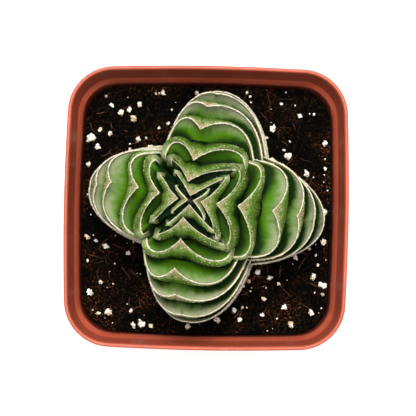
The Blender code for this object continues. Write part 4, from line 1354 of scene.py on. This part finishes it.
class CRASSULA_OT_stage(bpy.types.Operator):
    """Sets the floor, the soft lights and the camera that looks down on the plant"""

    bl_idname = "crassula.stage"
    bl_label = "Stage"

    distance: FloatProperty(
        name="Distance", description="Camera to the rim's middle", default=0.52, unit="LENGTH",
    )
    elevation: FloatProperty(
        name="Elevation", description="Camera above the horizon", default=math.radians(87.0),
        subtype="ANGLE", unit="ROTATION",
    )
    azimuth: FloatProperty(
        name="Azimuth", description="Camera round the plant", default=math.radians(1.0),
        subtype="ANGLE", unit="ROTATION",
    )
    width: FloatProperty(
        name="Width", description="What the frame spans at the rim", default=94.6 * MM, unit="LENGTH",
    )

    def execute(self, context):
        look = context.scene.crassula_stage
        scene = context.scene
        bm = bmesh.new()
        bmesh.ops.create_grid(bm, x_segments=1, y_segments=1, size=FLOOR_REACH)
        mesh = bpy.data.meshes.new("studio_floor")
        bm.to_mesh(mesh)
        bm.free()
        mesh.materials.append(studio_floor(look))
        floor = bpy.data.objects.new("studio_floor", mesh)
        scene.collection.objects.link(floor)
        for name, place, size, share in LIGHTS:
            light = bpy.data.lights.new(name, "AREA")
            light.shape = "DISK"
            light.size = size
            light.energy = look.key * share
            lamp = bpy.data.objects.new(name, light)
            lamp.location = place
            aim = Vector(place) - Vector((0.0, 0.0, POT_HEIGHT))
            lamp.rotation_euler = aim.to_track_quat("Z", "Y").to_euler()
            scene.collection.objects.link(lamp)
        world = bpy.data.worlds.new("studio")
        world.use_nodes = True
        background = world.node_tree.nodes["Background"]
        background.inputs["Color"].default_value = (1.0, 1.0, 1.0, 1.0)
        background.inputs["Strength"].default_value = look.fill
        scene.world = world
        camera = bpy.data.cameras.new("camera")
        camera.sensor_width = 36.0
        camera.lens = camera.sensor_width * self.distance / self.width
        camera.shift_x, camera.shift_y = CAMERA_SHIFT
        holder = bpy.data.objects.new("camera", camera)
        back = Vector((
            math.sin(self.azimuth) * math.cos(self.elevation),
            -math.cos(self.azimuth) * math.cos(self.elevation),
            math.sin(self.elevation),
        ))
        holder.location = Vector((0.0, 0.0, POT_HEIGHT)) + back * self.distance
        holder.rotation_euler = back.to_track_quat("Z", "Y").to_euler()
        scene.collection.objects.link(holder)
        scene.camera = holder
        scene.view_settings.view_transform = "Standard"
        return {"FINISHED"}


class CRASSULA_PT_panel(bpy.types.Panel):
    """Lists the pieces and their looks in the sidebar"""

    bl_label = "Potted Crassula"
    bl_idname = "CRASSULA_PT_panel"
    bl_space_type = "VIEW_3D"
    bl_region_type = "UI"
    bl_category = "Crassula"

    def draw(self, context):
        for group in GROUPS:
            box = self.layout.box()
            look = getattr(context.scene, group)
            for name in look.__annotations__:
                box.prop(look, name)
        for operator in OPERATORS:
            self.layout.operator(operator.bl_idname)


GROUPS = {
    "crassula_pot": PotLook,
    "crassula_soil": SoilLook,
    "crassula_leaf": LeafLook,
    "crassula_stage": StageLook,
}
OPERATORS = (
    CRASSULA_OT_pot,
    CRASSULA_OT_soil,
    CRASSULA_OT_perlite,
    CRASSULA_OT_crumbs,
    CRASSULA_OT_stem,
    CRASSULA_OT_leaves,
    CRASSULA_OT_stage,
)


def register():
    for group in (*GROUPS.values(), *OPERATORS, CRASSULA_PT_panel):
        bpy.utils.register_class(group)
    for name, group in GROUPS.items():
        setattr(bpy.types.Scene, name, PointerProperty(type=group))


def unregister():
    for name in GROUPS:
        delattr(bpy.types.Scene, name)
    for group in reversed((*GROUPS.values(), *OPERATORS, CRASSULA_PT_panel)):
        bpy.utils.unregister_class(group)


def main():
    register()
    bpy.ops.crassula.pot()
    bpy.ops.crassula.soil()
    bpy.ops.crassula.perlite()
    bpy.ops.crassula.crumbs()
    bpy.ops.crassula.stem()
    bpy.ops.crassula.leaves()
    bpy.ops.crassula.stage()


if __name__ == "__main__":
    main()
